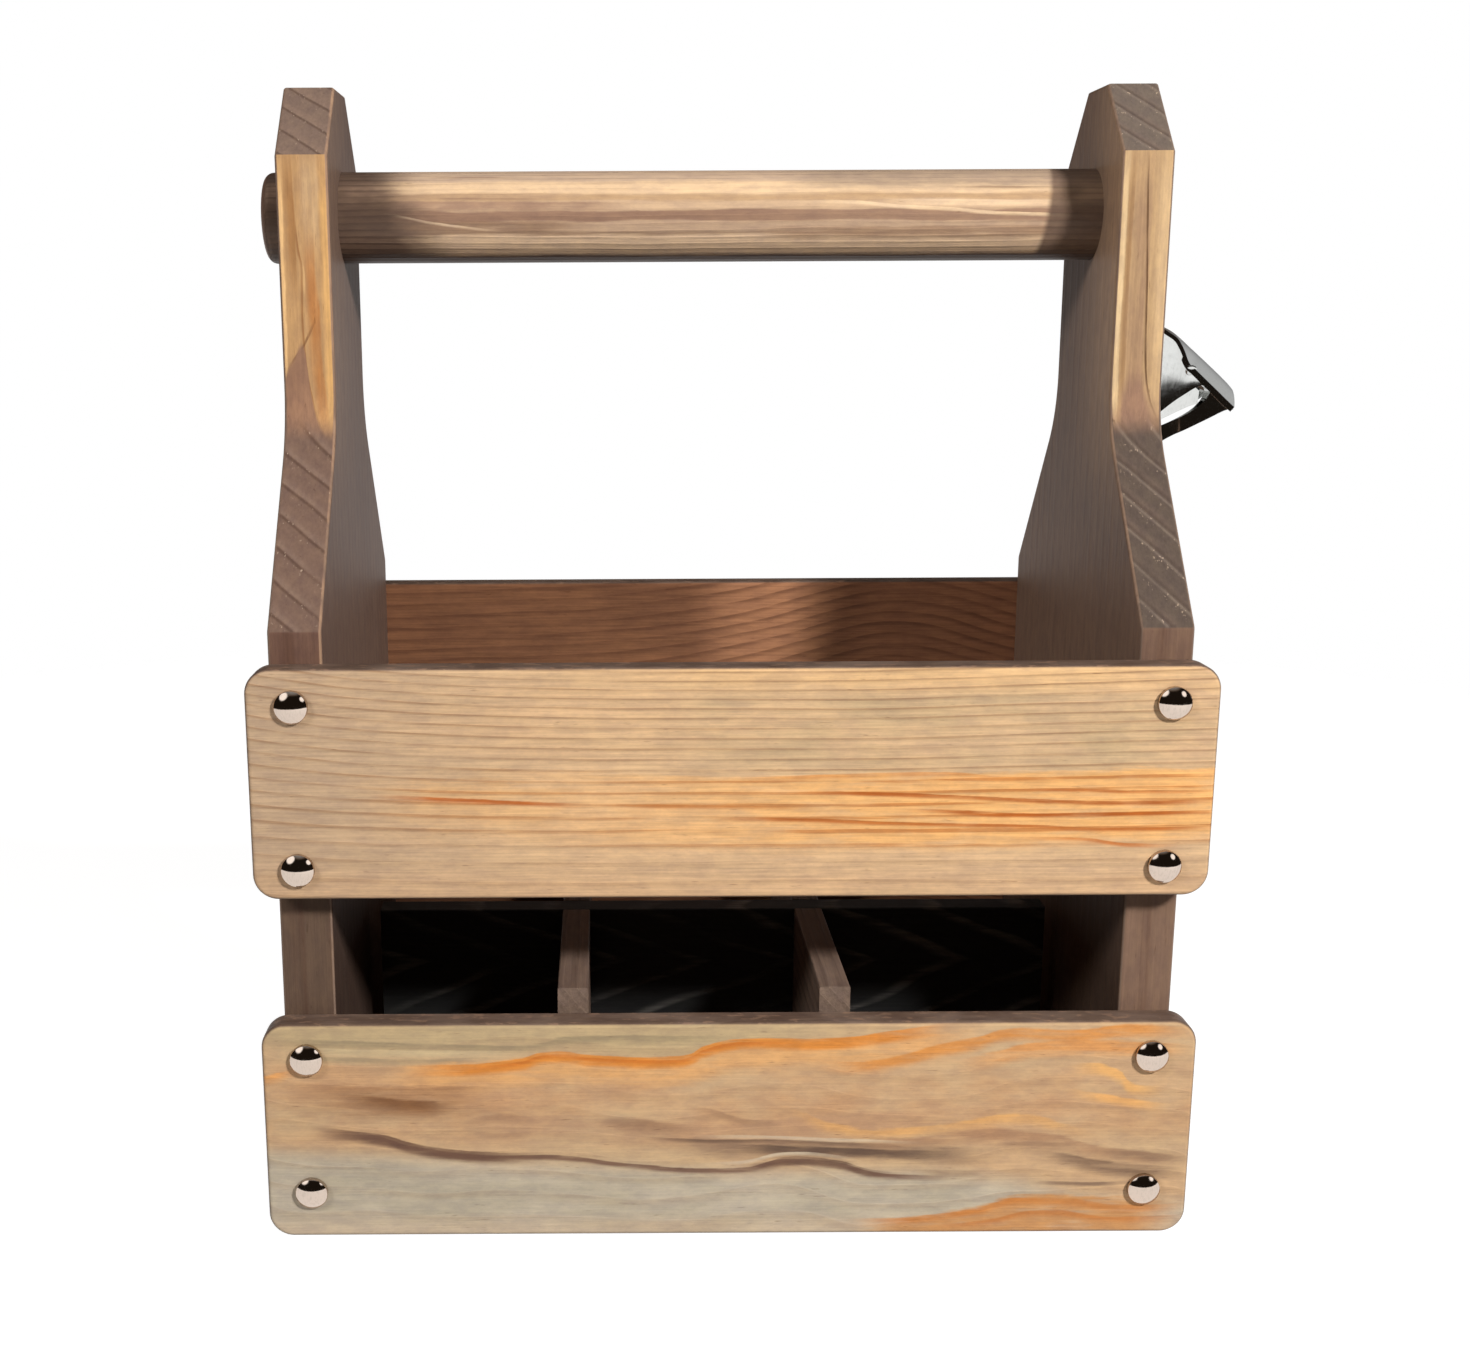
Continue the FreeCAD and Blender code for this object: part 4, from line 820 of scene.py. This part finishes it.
def plated_metal(name, colour, roughness, depth):
    """Bright plating with faint smudges and a slight unevenness."""
    w = Finish(name, "xyz")
    smudge_gloss, rub_gloss, rub_shade = 0.06, 0.03, 0.92
    smudge = w.noise(w.place, (0.35, 0.35, 0.35), 3.0, detail=3.0)
    rub = w.noise(w.place, (1.6, 1.6, 0.5), 5.0, detail=4.0, roughness=0.65)
    gloss = w.maths("MULTIPLY_ADD", w.span(smudge, 0.4, 0.75), smudge_gloss, roughness)
    gloss = w.maths("MULTIPLY_ADD", rub, rub_gloss, gloss)
    tone = w.paint(linear(colour), w.span(rub, 0.45, 0.8), tuple(part * rub_shade for part in colour))
    return w.close(tone, gloss, smudge, depth, Metallic=1.0)


def build_groups():
    """Build each shared effect once."""
    if "Facing" not in bpy.data.node_groups:
        for build in (facing_group, rings_group, fibre_group, clouds_group, streak_group):
            build()


def dress(material, *names):
    """Give CAD nodes their finish."""
    for name in names:
        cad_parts[name].material_slots[0].material = material


def new_tree(name, inputs):
    """An empty Geometry Nodes tree with named inputs; its wiring, entry and leave."""
    tree = bpy.data.node_groups.new(name, "GeometryNodeTree")
    tree.interface.new_socket("Geometry", in_out="INPUT", socket_type="NodeSocketGeometry")
    for title, kind in inputs:
        tree.interface.new_socket(title, in_out="INPUT", socket_type=f"NodeSocket{kind}")
    tree.interface.new_socket("Geometry", in_out="OUTPUT", socket_type="NodeSocketGeometry")
    w = Wiring(tree)
    return w, w.node("NodeGroupInput").outputs, w.node("NodeGroupOutput").inputs


def set_inputs(modifier, **values):
    """Set a modifier's inputs by their sockets' identifiers."""
    for item in modifier.node_group.interface.items_tree:
        key = item.name.replace(" ", "_")
        if item.item_type == "SOCKET" and item.in_out == "INPUT" and key in values:
            modifier[item.identifier] = values[key]


def dome_nail_tree():
    """Dome heads on points: a fine cone bent to a low cap on a short wall, leaning a little at random."""
    corners, segments, wall_share, nearly_nothing = 48, 26, 0.4, 0.00001
    inputs = (("Head Diameter", "Float"), ("Head Height", "Float"), ("Tilt", "Float"), ("Seed", "Int"),
              ("Material", "Material"))
    w, entry, leave = new_tree("Dome Nails", inputs)
    radius = w.maths("MULTIPLY", entry["Head Diameter"], 0.5)
    rise = entry["Head Height"]
    cone = w.node("GeometryNodeMeshCone", {
        "Vertices": corners, "Side Segments": segments,
        "Radius Top": 0.0, "Radius Bottom": radius, "Depth": rise})
    place = w.node("GeometryNodeInputPosition").outputs[0]
    x, y = w.node("ShaderNodeSeparateXYZ", {0: place}).outputs[:2]
    out = w.maths("SQRT", w.maths("MULTIPLY_ADD", x, x, w.maths("MULTIPLY", y, y)))
    wall = w.maths("MULTIPLY", rise, wall_share)
    crown = w.maths("SUBTRACT", rise, wall)
    ball = w.maths("DIVIDE", w.maths("MULTIPLY_ADD", radius, radius, w.maths("MULTIPLY", crown, crown)),
                   w.maths("MULTIPLY", crown, 2.0))
    widen = segments / (segments - 1)
    spread = w.maths("MINIMUM", widen, w.maths("DIVIDE", radius, w.larger(out, nearly_nothing)))
    x, y, out = (w.maths("MULTIPLY", part, spread) for part in (x, y, out))
    reach = w.maths("SUBTRACT", w.maths("MULTIPLY", ball, ball), w.maths("MULTIPLY", out, out))
    cap = w.maths("SUBTRACT", w.maths("SQRT", reach), w.maths("SUBTRACT", ball, rise))
    lifted = w.maths("MULTIPLY", cap, w.maths("GREATER_THAN", spread, (1.0 + widen) / 2))
    dome = w.node("ShaderNodeCombineXYZ", {0: x, 1: y, 2: lifted}).outputs[0]
    bent = w.node("GeometryNodeSetPosition", {"Geometry": cone.outputs["Mesh"], "Position": dome}).outputs[0]
    smooth = w.node("GeometryNodeSetShadeSmooth", {"Geometry": bent}).outputs[0]
    outward = w.node("GeometryNodeInputNamedAttribute", {"Name": "outward"}, data_type="FLOAT_VECTOR")
    face = w.node("FunctionNodeAlignRotationToVector", {"Vector": outward.outputs[0]}, axis="Z").outputs[0]
    most = w.node("ShaderNodeCombineXYZ", {0: entry["Tilt"], 1: entry["Tilt"], 2: math.pi}).outputs[0]
    least = w.node("ShaderNodeVectorMath", {0: most, "Scale": -1.0}, operation="SCALE").outputs[0]
    lean = w.node(
        "FunctionNodeRandomValue", {0: least, 1: most, "Seed": entry["Seed"]}, data_type="FLOAT_VECTOR")
    turned = w.node("FunctionNodeRotateRotation", {0: face, 1: lean.outputs[0]}, rotation_space="LOCAL")
    heads = w.node("GeometryNodeInstanceOnPoints", {
        "Points": entry["Geometry"], "Instance": smooth, "Rotation": turned.outputs[0]}).outputs[0]
    real = w.node("GeometryNodeRealizeInstances", {0: heads}).outputs[0]
    painted = w.node("GeometryNodeSetMaterial", {"Geometry": real, "Material": entry["Material"]}).outputs[0]
    w.feed(leave[0], painted)
    return w.tree


def points_mesh(name, places, outwards):
    """A mesh of loose points, each with the direction that faces outwards."""
    mesh = bpy.data.meshes.new(name)
    mesh.from_pydata(places, [], [])
    attribute = mesh.attributes.new("outward", "FLOAT_VECTOR", "POINT")
    for item, outward in zip(attribute.data, outwards):
        item.vector = outward
    return mesh


def link(name, mesh):
    """A new object at the origin with this mesh."""
    made = bpy.data.objects.new(name, mesh)
    bpy.context.scene.collection.objects.link(made)
    return made


def settle(made):
    """Turn an object with modifiers into a plain mesh and drop the modifiers."""
    seen = made.evaluated_get(bpy.context.evaluated_depsgraph_get())
    mesh = bpy.data.meshes.new_from_object(seen)
    made.modifiers.clear()
    made.data = mesh


class CaddyOperator(bpy.types.Operator):
    """Shared by the caddy's operators: the shared effects are built first, and then the piece."""
    bl_options = {"REGISTER", "UNDO"}

    def execute(self, context):
        build_groups()
        self.build(context.scene)
        return {"FINISHED"}


class CADDY_OT_end_boards(CaddyOperator):
    """Stain the end boards and sand their necks"""
    bl_idname = "caddy.end_boards"
    bl_label = "End Boards"

    def build(self, scene):
        for side in SIDES:
            dress(end_board_pine(scene.caddy_wood, side), f"end_board_{side}")


class CADDY_OT_handle(CaddyOperator):
    """Finish the carrying dowel"""
    bl_idname = "caddy.handle"
    bl_label = "Handle"

    def build(self, scene):
        dress(dowel_pine(), "handle_dowel")


class CADDY_OT_front_slats(CaddyOperator):
    """Finish the two front slats"""
    bl_idname = "caddy.front_slats"
    bl_label = "Front Slats"

    def build(self, scene):
        dress(upper_slat_pine(scene.caddy_wood), "front_upper_slat")
        dress(lower_slat_pine(scene.caddy_wood), "front_lower_slat")


class CADDY_OT_back_slats(CaddyOperator):
    """Finish the two back slats"""
    bl_idname = "caddy.back_slats"
    bl_label = "Back Slats"

    def build(self, scene):
        dress(back_slat_pine(scene.caddy_wood), "back_upper_slat", "back_lower_slat")


class CADDY_OT_base(CaddyOperator):
    """Finish the base panel"""
    bl_idname = "caddy.base"
    bl_label = "Base"

    def build(self, scene):
        dress(base_plywood(scene.caddy_wood), "bottom_panel")


class CADDY_OT_dividers(CaddyOperator):
    """Finish the lift-out divider grid"""
    bl_idname = "caddy.dividers"
    bl_label = "Dividers"

    def build(self, scene):
        dress(divider_pine(scene.caddy_wood), "cross_divider_left", "cross_divider_right")
        dress(black_divider(scene.caddy_wood), "long_divider")


class CADDY_OT_dome_nails(CaddyOperator):
    """Set the chromed dome nails on the slats"""
    bl_idname = "caddy.dome_nails"
    bl_label = "Dome Nails"

    def build(self, scene):
        metal = scene.caddy_metal
        places, outwards = [], []
        for name in NAILS:
            low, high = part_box(name)
            face, sign = ("front", -1) if "front" in name else ("back", 1)
            slat_low, slat_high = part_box(f"{face}_lower_slat")
            slat_face = slat_low.y if sign < 0 else slat_high.y
            places.append(((low.x + high.x) / 2, slat_face, (low.z + high.z) / 2))
            outwards.append((0.0, sign, 0.0))
        nails = link("dome_nail_heads", points_mesh("dome_nail_heads", places, outwards))
        modifier = nails.modifiers.new("Dome Nails", "NODES")
        modifier.node_group = dome_nail_tree()
        set_inputs(
            modifier, Head_Diameter=metal.head_diameter, Head_Height=metal.head_height, Tilt=metal.head_tilt,
            Seed=6, Material=plated_metal("nail_chrome", metal.chrome, roughness=0.05, depth=0.00002))
        settle(nails)
        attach(nails, "carrier")
        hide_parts(*NAILS)


class CADDY_OT_fasteners(CaddyOperator):
    """Finish the brads of the base and the opener's screws"""
    bl_idname = "caddy.fasteners"
    bl_label = "Brads and Screws"

    def build(self, scene):
        metal = scene.caddy_metal
        dress(plated_metal("brad_steel", metal.steel, roughness=0.3, depth=0.00003), *BRADS)
        dress(plated_metal("screw_chrome", metal.chrome, roughness=0.16, depth=0.00002), *SCREWS)


# The opener in millimetres, by reach from the wall and height: the sheet's middle and edge, the arm's
# underside and the leaf-shaped window
CROWN_LINE = (
    (0, 21.5), (4, 20.3), (8, 18.8), (11, 17.2), (14, 15.2), (16.5, 13.3), (18.2, 11.9),
    (19.8, 10.6), (21.4, 9.2), (24.6, 6.4), (28.2, 3.2), (31.2, 0.4), (32.8, -1.3))
EDGE_LINE = (
    (0, 20.2), (3, 18.5), (6, 16.7), (8.6, 14.9), (10.3, 12.5), (11.6, 10.0), (12.5, 7.8),
    (13.7, 5.9), (15.3, 4.6), (18.8, 1.4), (22.8, -2.2), (26.6, -5.7), (29.2, -8.0))
ARM_FOOT = ((0, -23.5), (5.2, -20.4), (7.9, -18.6), (14.9, -15), (22.3, -11), (26.2, -9.1), (28.4, -8.6))
LEAF = (
    (2.2, -13.8), (4, -15.1), (7, -13.9), (10.4, -12.3), (13, -10.9), (15.7, -9.2), (17.6, -7.6), (19.2, -6),
    (20.4, -4.2), (20.9, -2.8), (20.4, -1.5), (19.3, -0.9), (18.1, -0.7), (16, -1.6), (14.2, -2.8),
    (12, -4.4), (10, -6), (7.7, -8), (5.5, -10), (3.6, -11.9))
LEAF_TIP = 9
LINE_STEPS = 3
OPENER_TOP = 36.0
PLATE_HALF = 18.5


def smooth_line(points, steps):
    """Points on a smooth line through the given points."""
    ends = (points[0], *points, points[-1])
    line = []
    for before, start, end, after in zip(ends, ends[1:], ends[2:], ends[3:]):
        for step in range(steps):
            t = step / steps
            square, cube = t ** 2, t ** 3
            weights = (
                2 * square - t - cube, 2 - 5 * square + 3 * cube, t + 4 * square - 3 * cube, cube - square)
            corners = zip(before, start, end, after)
            line.append(tuple(sum(a * b for a, b in zip(weights, values)) / 2 for values in corners))
    line.append(points[-1])
    return line


def height_at(line, reach):
    """The height of a line at a reach, by straight steps between its points."""
    for (left, low), (right, high) in zip(line, line[1:]):
        if reach <= right:
            break
    share = (reach - left) / (right - left)
    return low + (high - low) * share


def fill_between(shape, loops, cuts, first, second):
    """Fill outline loops in a plane, cut finer, and raise them into a solid between two surfaces over it."""
    flat = bmesh.new()
    for loop in loops:
        dots = [flat.verts.new((*point, 0.0)) for point in loop]
        for dot, following in zip(dots, dots[1:] + dots[:1]):
            flat.edges.new((dot, following))
    bmesh.ops.triangle_fill(flat, edges=flat.edges[:], use_beauty=True, normal=(0.0, 0.0, 1.0))
    bmesh.ops.subdivide_edges(flat, edges=flat.edges[:], cuts=cuts, use_grid_fill=True)
    flat.verts.index_update()
    fronts = [shape.verts.new(first(*dot.co.xy)) for dot in flat.verts]
    backs = [shape.verts.new(second(*dot.co.xy)) for dot in flat.verts]
    for face in flat.faces:
        ring = [dot.index for dot in face.verts]
        shape.faces.new([fronts[index] for index in ring])
        shape.faces.new([backs[index] for index in reversed(ring)])
    for edge in flat.edges:
        if edge.is_boundary:
            a, b = (dot.index for dot in edge.verts)
            shape.faces.new((fronts[a], fronts[b], backs[b], backs[a]))
    flat.free()


def opener_sheet(shape, place, half, hood_thickness, shield_thickness):
    """The crowned sheet that runs from the wall over the hood and down the shield, closed all round."""
    hood_reach, half_count = 12, 10
    crown, edge = smooth_line(CROWN_LINE, LINE_STEPS), smooth_line(EDGE_LINE, LINE_STEPS)
    shares = [step / half_count - 1 for step in range(2 * half_count + 1)]
    layers = ([], [])
    last = len(edge) - 1
    for index in range(len(edge)):
        ahead = Vector(edge[min(index + 1, last)]) - Vector(edge[max(index - 1, 0)])
        inward = Vector((ahead.y, -ahead.x)).normalized()
        thickness = hood_thickness if edge[index][0] < hood_reach else shield_thickness
        for layer, offset in zip(layers, (0.0, thickness)):
            rows = []
            for share in shares:
                point = Vector(edge[index]).lerp(Vector(crown[index]), 1 - share ** 2) + inward * offset
                rows.append(shape.verts.new(place(point.x, half * share, point.y)))
            layer.append(rows)
    for layer, order in zip(layers, (1, -1)):
        for row, following in zip(layer, layer[1:]):
            for a, b, c, d in zip(row, row[1:], following[1:], following):
                shape.faces.new((a, b, c, d)[::order])
    outer, inner = layers
    borders = [(outer[0], inner[0]), (outer[-1], inner[-1])]
    for side in (0, -1):
        borders.append(([rows[side] for rows in outer], [rows[side] for rows in inner]))
    for top, foot in borders:
        for a, b, c, d in zip(top, top[1:], foot[1:], foot):
            shape.faces.new((a, b, c, d))


def opener_cheek(shape, place, sign):
    """One side of the opener with its leaf-shaped window, overhung above it, and a rib up to the shield."""
    edge = smooth_line(EDGE_LINE, LINE_STEPS)
    foot = smooth_line(ARM_FOOT, LINE_STEPS)
    rim = smooth_line(LEAF[:LEAF_TIP:-1], steps=4)
    window = smooth_line(LEAF + LEAF[:1], steps=2)[:-1]
    lap, least_depth = 0.9, 0.5
    top = [(reach, height - lap) for reach, height in reversed(edge)]
    arm_start, arm_slope = -16.9, 0.532
    steep, ease, ease_start, below_rim = 0.19, 0.62, 0.38, 0.3
    outer_half, upright, flank_end, flank_length = 19.3, 0.03, 22.0, 3.5
    inner_half, draft, taper, taper_start, mouth_half = 16.6, 0.2, 0.3, 17.0, 9.0
    rib_thickness, rib_foot, rib_rise, rib_reaches = 0.8, 1.5, 3.0, range(22, 29)

    def outside(reach, height):
        crest = height_at(edge, reach)
        arm = min(arm_start + arm_slope * reach, crest)
        depth = max(crest - height_at(rim, reach), least_depth)
        drop = (crest - max(height, arm)) / depth
        share = min(drop, 1.0)
        eased = share - ease * max(share - ease_start, 0.0) ** 2 + below_rim * (drop - share)
        flank = min(max((flank_end - reach) / flank_length, 0.0), 1.0)
        half = outer_half - steep * depth * eased * flank + upright * max(arm - height, 0.0)
        return place(reach, sign * half, height)

    def inside(reach, height, wider=0.0):
        rise = height - height_at(foot, reach)
        half = inner_half - draft * rise - taper * max(reach - taper_start, 0.0)
        return place(reach, sign * (max(half, mouth_half) + wider), height)

    def rib(reach, height):
        return inside(reach, height, rib_thickness)

    fill_between(shape, (foot + top, window), cuts=7, first=outside, second=inside)
    seam = [(reach, height_at(edge, reach) - rib_foot) for reach in rib_reaches]
    seam += [(reach, height_at(edge, reach) + rib_rise) for reach in reversed(rib_reaches)]
    fill_between(shape, (seam,), cuts=1, first=rib, second=inside)


def opener_plate(shape, low, high, corner, screws, hole):
    """The screwed plate with rounded corners and a hole for each screw."""
    half, foot, top = high.y, low.z, high.z
    quarter_steps, circle_steps = 8, 24
    quarter = [math.pi / 2 * step / quarter_steps for step in range(quarter_steps + 1)]
    middles = ((half - corner, top - corner), (corner - half, top - corner),
               (corner - half, foot + corner), (half - corner, foot + corner))
    outline = []
    for number, (across, up) in enumerate(middles):
        for turn in quarter:
            angle = turn + number * math.pi / 2
            outline.append((across + corner * math.cos(angle), up + corner * math.sin(angle)))
    circle = [math.tau * step / circle_steps for step in range(circle_steps)]
    holes = [[(hole * math.cos(turn), up + hole * math.sin(turn)) for turn in circle] for up in screws]
    fill_between(
        shape, (outline, *holes), cuts=1,
        first=lambda y, z: (high.x, y, z), second=lambda y, z: (low.x, y, z))


class CADDY_OT_opener(CaddyOperator):
    """Make the chromed opener: its sheet, cheeks, arms and plate"""
    bl_idname = "caddy.opener"
    bl_label = "Opener"

    def build(self, scene):
        sharp_angle = math.radians(28)
        low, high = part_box("opener_body")
        screws = [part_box(f"opener_screw_{place}") for place in ("upper", "lower")]
        wall = low.x
        plate_face = screws[0][1].x
        sheet_half = high.y
        centre = high.z - OPENER_TOP / MM

        def place(reach, across, height):
            return (wall + reach / MM, across / MM, centre + height / MM)

        shape = bmesh.new()
        opener_sheet(shape, place, sheet_half * MM, hood_thickness=1.3, shield_thickness=2.0)
        for sign in (-1, 1):
            opener_cheek(shape, place, sign)
        plate_low = Vector((wall, 0.0, low.z))
        plate_high = Vector((plate_face, PLATE_HALF / MM, high.z))
        heights = [(box[0].z + box[1].z) / 2 for box in screws]
        head = (screws[0][1].z - screws[0][0].z) / 2
        opener_plate(shape, plate_low, plate_high, corner=0.009, screws=heights, hole=head)
        bead_lean, bead_flatness, bead_radius = 0.45, 0.22, 0.0019
        flatten = Matrix.Rotation(bead_lean, 4, "X") @ Matrix.Diagonal((1, bead_flatness, 1, 1))
        bead = Matrix.Translation(place(reach=14.0, across=-19.4, height=4.3)) @ flatten
        bmesh.ops.create_uvsphere(shape, u_segments=20, v_segments=12, radius=bead_radius, matrix=bead)
        bmesh.ops.recalc_face_normals(shape, faces=shape.faces[:])
        mesh = bpy.data.meshes.new("opener_casting")
        shape.to_mesh(mesh)
        shape.free()
        mesh.polygons.foreach_set("use_smooth", [True] * len(mesh.polygons))
        mesh.set_sharp_from_angle(angle=sharp_angle)
        plating = plated_metal("opener_chrome", scene.caddy_metal.casting, roughness=0.09, depth=0.000004)
        mesh.materials.append(plating)
        opener = link("opener_casting", mesh)
        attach(opener, "carrier")
        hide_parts("opener_body")


LAMP_ELEVATION = math.radians(30)


def add_lamp(name, azimuth, elevation, level, width, distance):
    """A soft lamp that lights white facing it to the level; azimuth 0 is the front, to the right positive."""
    lamp = bpy.data.lights.new(name, "AREA")
    lamp.shape = "DISK"
    lamp.size = width
    lamp.energy = level * (math.pi * distance) ** 2
    target = Vector((0.0, 0.0, (CAD_BOX[0][2] + CAD_BOX[1][2]) / 2))
    flat = math.cos(elevation)
    toward = Vector((flat * math.sin(azimuth), -flat * math.cos(azimuth), math.sin(elevation)))
    holder = bpy.data.objects.new(name, lamp)
    holder.location = target + toward * distance
    holder.rotation_euler = toward.to_track_quat("Z", "Y").to_euler()
    holder.visible_camera = False
    holder.visible_glossy = False
    bpy.context.scene.collection.objects.link(holder)


def seen_rays(w):
    """Which rays come from the camera, and which from the camera, a mirror or glass, but not to light."""
    path = w.node("ShaderNodeLightPath").outputs
    camera = path["Is Camera Ray"]
    return camera, w.larger(camera, path["Is Glossy Ray"], path["Is Transmission Ray"])


# Pale patches in the room that only mirrors see: direction, and how near to it the patch is full and ends
MIRROR_PATCHES = (((-0.62, -0.42, 0.67), 0.975, 0.93), ((0.74, -0.46, 0.49), 0.99, 0.972))
PATCH_LEVEL = 1.7


def studio_world(scene, ambient):
    """White backdrop for the camera, a dark room with pale patches for mirrors, and a low ambient light."""
    world = bpy.data.worlds.new("studio")
    w = Wiring(bare_tree(world))
    direction = w.node("ShaderNodeTexCoord").outputs["Generated"]
    x, y, z = w.node("ShaderNodeSeparateXYZ", {0: direction}).outputs
    camera, seen = seen_rays(w)
    backdrop_level, wall_level, ceiling_level, dark_level = 0.93, 0.68, 0.4, 0.016
    backdrop = w.times(w.span(y, 0.1, 0.3), w.span(z, 0.1, 0.03), backdrop_level)
    side_wall = w.times(w.span(x, 0.2, 0.8), w.span(y, 0.0, 0.15), w.span(z, -0.02, 0.08), wall_level)
    ceiling = w.times(w.span(z, 0.72, 1.0), ceiling_level)
    room = w.larger(backdrop, side_wall, ceiling, dark_level)
    for toward, full, end in MIRROR_PATCHES:
        near = w.node("ShaderNodeVectorMath", {0: direction, 1: toward}, operation="DOT_PRODUCT")
        room = w.larger(room, w.span(near.outputs["Value"], end, full, 0.0, PATCH_LEVEL))
    level = w.larger(camera, w.times(seen, room))
    level = w.larger(level, w.times(w.maths("SUBTRACT", 1.0, seen), ambient))
    tone = w.mix(w.span(level, 0.02, 0.3), linear(shade(255, 224, 196)), (1.0, 1.0, 1.0, 1.0))
    background = w.node("ShaderNodeBackground", {"Color": tone, "Strength": level})
    w.node("ShaderNodeOutputWorld", {"Surface": background.outputs[0]})
    scene.world = world


def studio_floor(radius):
    """A pale floor that shows white with a soft shadow and fades out at its rim."""
    sunk, paper_tone, glow_level, rim_share = 0.0004, 0.35, 0.92, 0.85
    mesh = bpy.data.meshes.new("floor")
    shape = bmesh.new()
    bmesh.ops.create_circle(shape, cap_ends=True, radius=radius, segments=96)
    shape.to_mesh(mesh)
    shape.free()
    floor = link("floor", mesh)
    floor.location.z = CAD_BOX[0][2] - sunk
    material = bpy.data.materials.new("floor_paper")
    w = Wiring(bare_tree(material))
    place = w.node("ShaderNodeTexCoord").outputs["Object"]
    out = w.node("ShaderNodeVectorMath", {0: place}, operation="LENGTH").outputs["Value"]
    seen = seen_rays(w)[1]
    paper = w.node("ShaderNodeBsdfDiffuse", {"Color": (paper_tone, paper_tone, paper_tone, 1.0)})
    strength = w.times(seen, glow_level)
    glow = w.node("ShaderNodeEmission", {"Color": (1.0, 1.0, 1.0, 1.0), "Strength": strength})
    lit = w.node("ShaderNodeAddShader", {0: paper.outputs[0], 1: glow.outputs[0]})
    clear = w.node("ShaderNodeBsdfTransparent")
    rim = w.span(out, radius * rim_share, radius)
    faded = w.node("ShaderNodeMixShader", {0: rim, 1: lit.outputs[0], 2: clear.outputs[0]})
    w.node("ShaderNodeOutputMaterial", {"Surface": faded.outputs[0]})
    mesh.materials.append(material)


def studio_camera(scene):
    """The camera at the photograph's place, fitted to the caddy's edges."""
    data = bpy.data.cameras.new("camera")
    data.sensor_fit = "HORIZONTAL"
    data.lens = FOCAL_PIXELS * data.sensor_width / IMAGE_WIDTH
    data.shift_x = (IMAGE_WIDTH / 2 - CENTRE_PIXELS[0]) / IMAGE_WIDTH
    data.shift_y = (CENTRE_PIXELS[1] - IMAGE_HEIGHT / 2) / IMAGE_WIDTH
    turn = Matrix.Rotation(math.pi / 2 - CAMERA_PITCH, 4, "X") @ Matrix.Rotation(CAMERA_ROLL, 4, "Z")
    camera = bpy.data.objects.new("camera", data)
    camera.matrix_world = Matrix.Translation(CAMERA_PLACE) @ turn
    scene.collection.objects.link(camera)
    scene.camera = camera


class CADDY_OT_stage(CaddyOperator):
    """Set the floor, the lamps, the backdrop and the camera"""
    bl_idname = "caddy.stage"
    bl_label = "Stage"

    def build(self, scene):
        stage = scene.caddy_stage
        scene.view_settings.view_transform = "Standard"
        for name, azimuth, level, width in (
                ("right_lamp", 38, stage.key_level, 0.22), ("left_lamp", -50, stage.fill_level, 0.36)):
            add_lamp(name, math.radians(azimuth), LAMP_ELEVATION, level, width, stage.lamp_distance)
        studio_world(scene, stage.ambient)
        studio_floor(stage.floor_radius)
        studio_camera(scene)


OPERATORS = (
    CADDY_OT_end_boards, CADDY_OT_handle, CADDY_OT_front_slats, CADDY_OT_back_slats, CADDY_OT_base,
    CADDY_OT_dividers, CADDY_OT_dome_nails, CADDY_OT_fasteners, CADDY_OT_opener, CADDY_OT_stage,
)
SETTINGS = {"caddy_wood": CaddyWood, "caddy_metal": CaddyMetal, "caddy_stage": CaddyStage}


class CADDY_PT_panel(bpy.types.Panel):
    """The caddy's settings and operators"""
    bl_label = "Bottle Caddy"
    bl_idname = "CADDY_PT_panel"
    bl_space_type = "VIEW_3D"
    bl_region_type = "UI"
    bl_category = "Caddy"

    def draw(self, context):
        for name, settings in SETTINGS.items():
            box = self.layout.box()
            for field in settings.__annotations__:
                box.prop(getattr(context.scene, name), field)
        for operator in OPERATORS:
            self.layout.operator(operator.bl_idname)


def register():
    """Register the settings, the operators and the panel."""
    for name, settings in SETTINGS.items():
        bpy.utils.register_class(settings)
        setattr(bpy.types.Scene, name, bpy.props.PointerProperty(type=settings))
    for operator in OPERATORS:
        bpy.utils.register_class(operator)
    bpy.utils.register_class(CADDY_PT_panel)


def unregister():
    """Take the panel, the operators and the settings away again."""
    bpy.utils.unregister_class(CADDY_PT_panel)
    for operator in reversed(OPERATORS):
        bpy.utils.unregister_class(operator)
    for name, settings in SETTINGS.items():
        delattr(bpy.types.Scene, name)
        bpy.utils.unregister_class(settings)


def main():
    """Build every piece and the stage."""
    register()
    for operator in OPERATORS:
        family, name = operator.bl_idname.split(".")
        getattr(getattr(bpy.ops, family), name)()


if __name__ == "__main__":
    main()
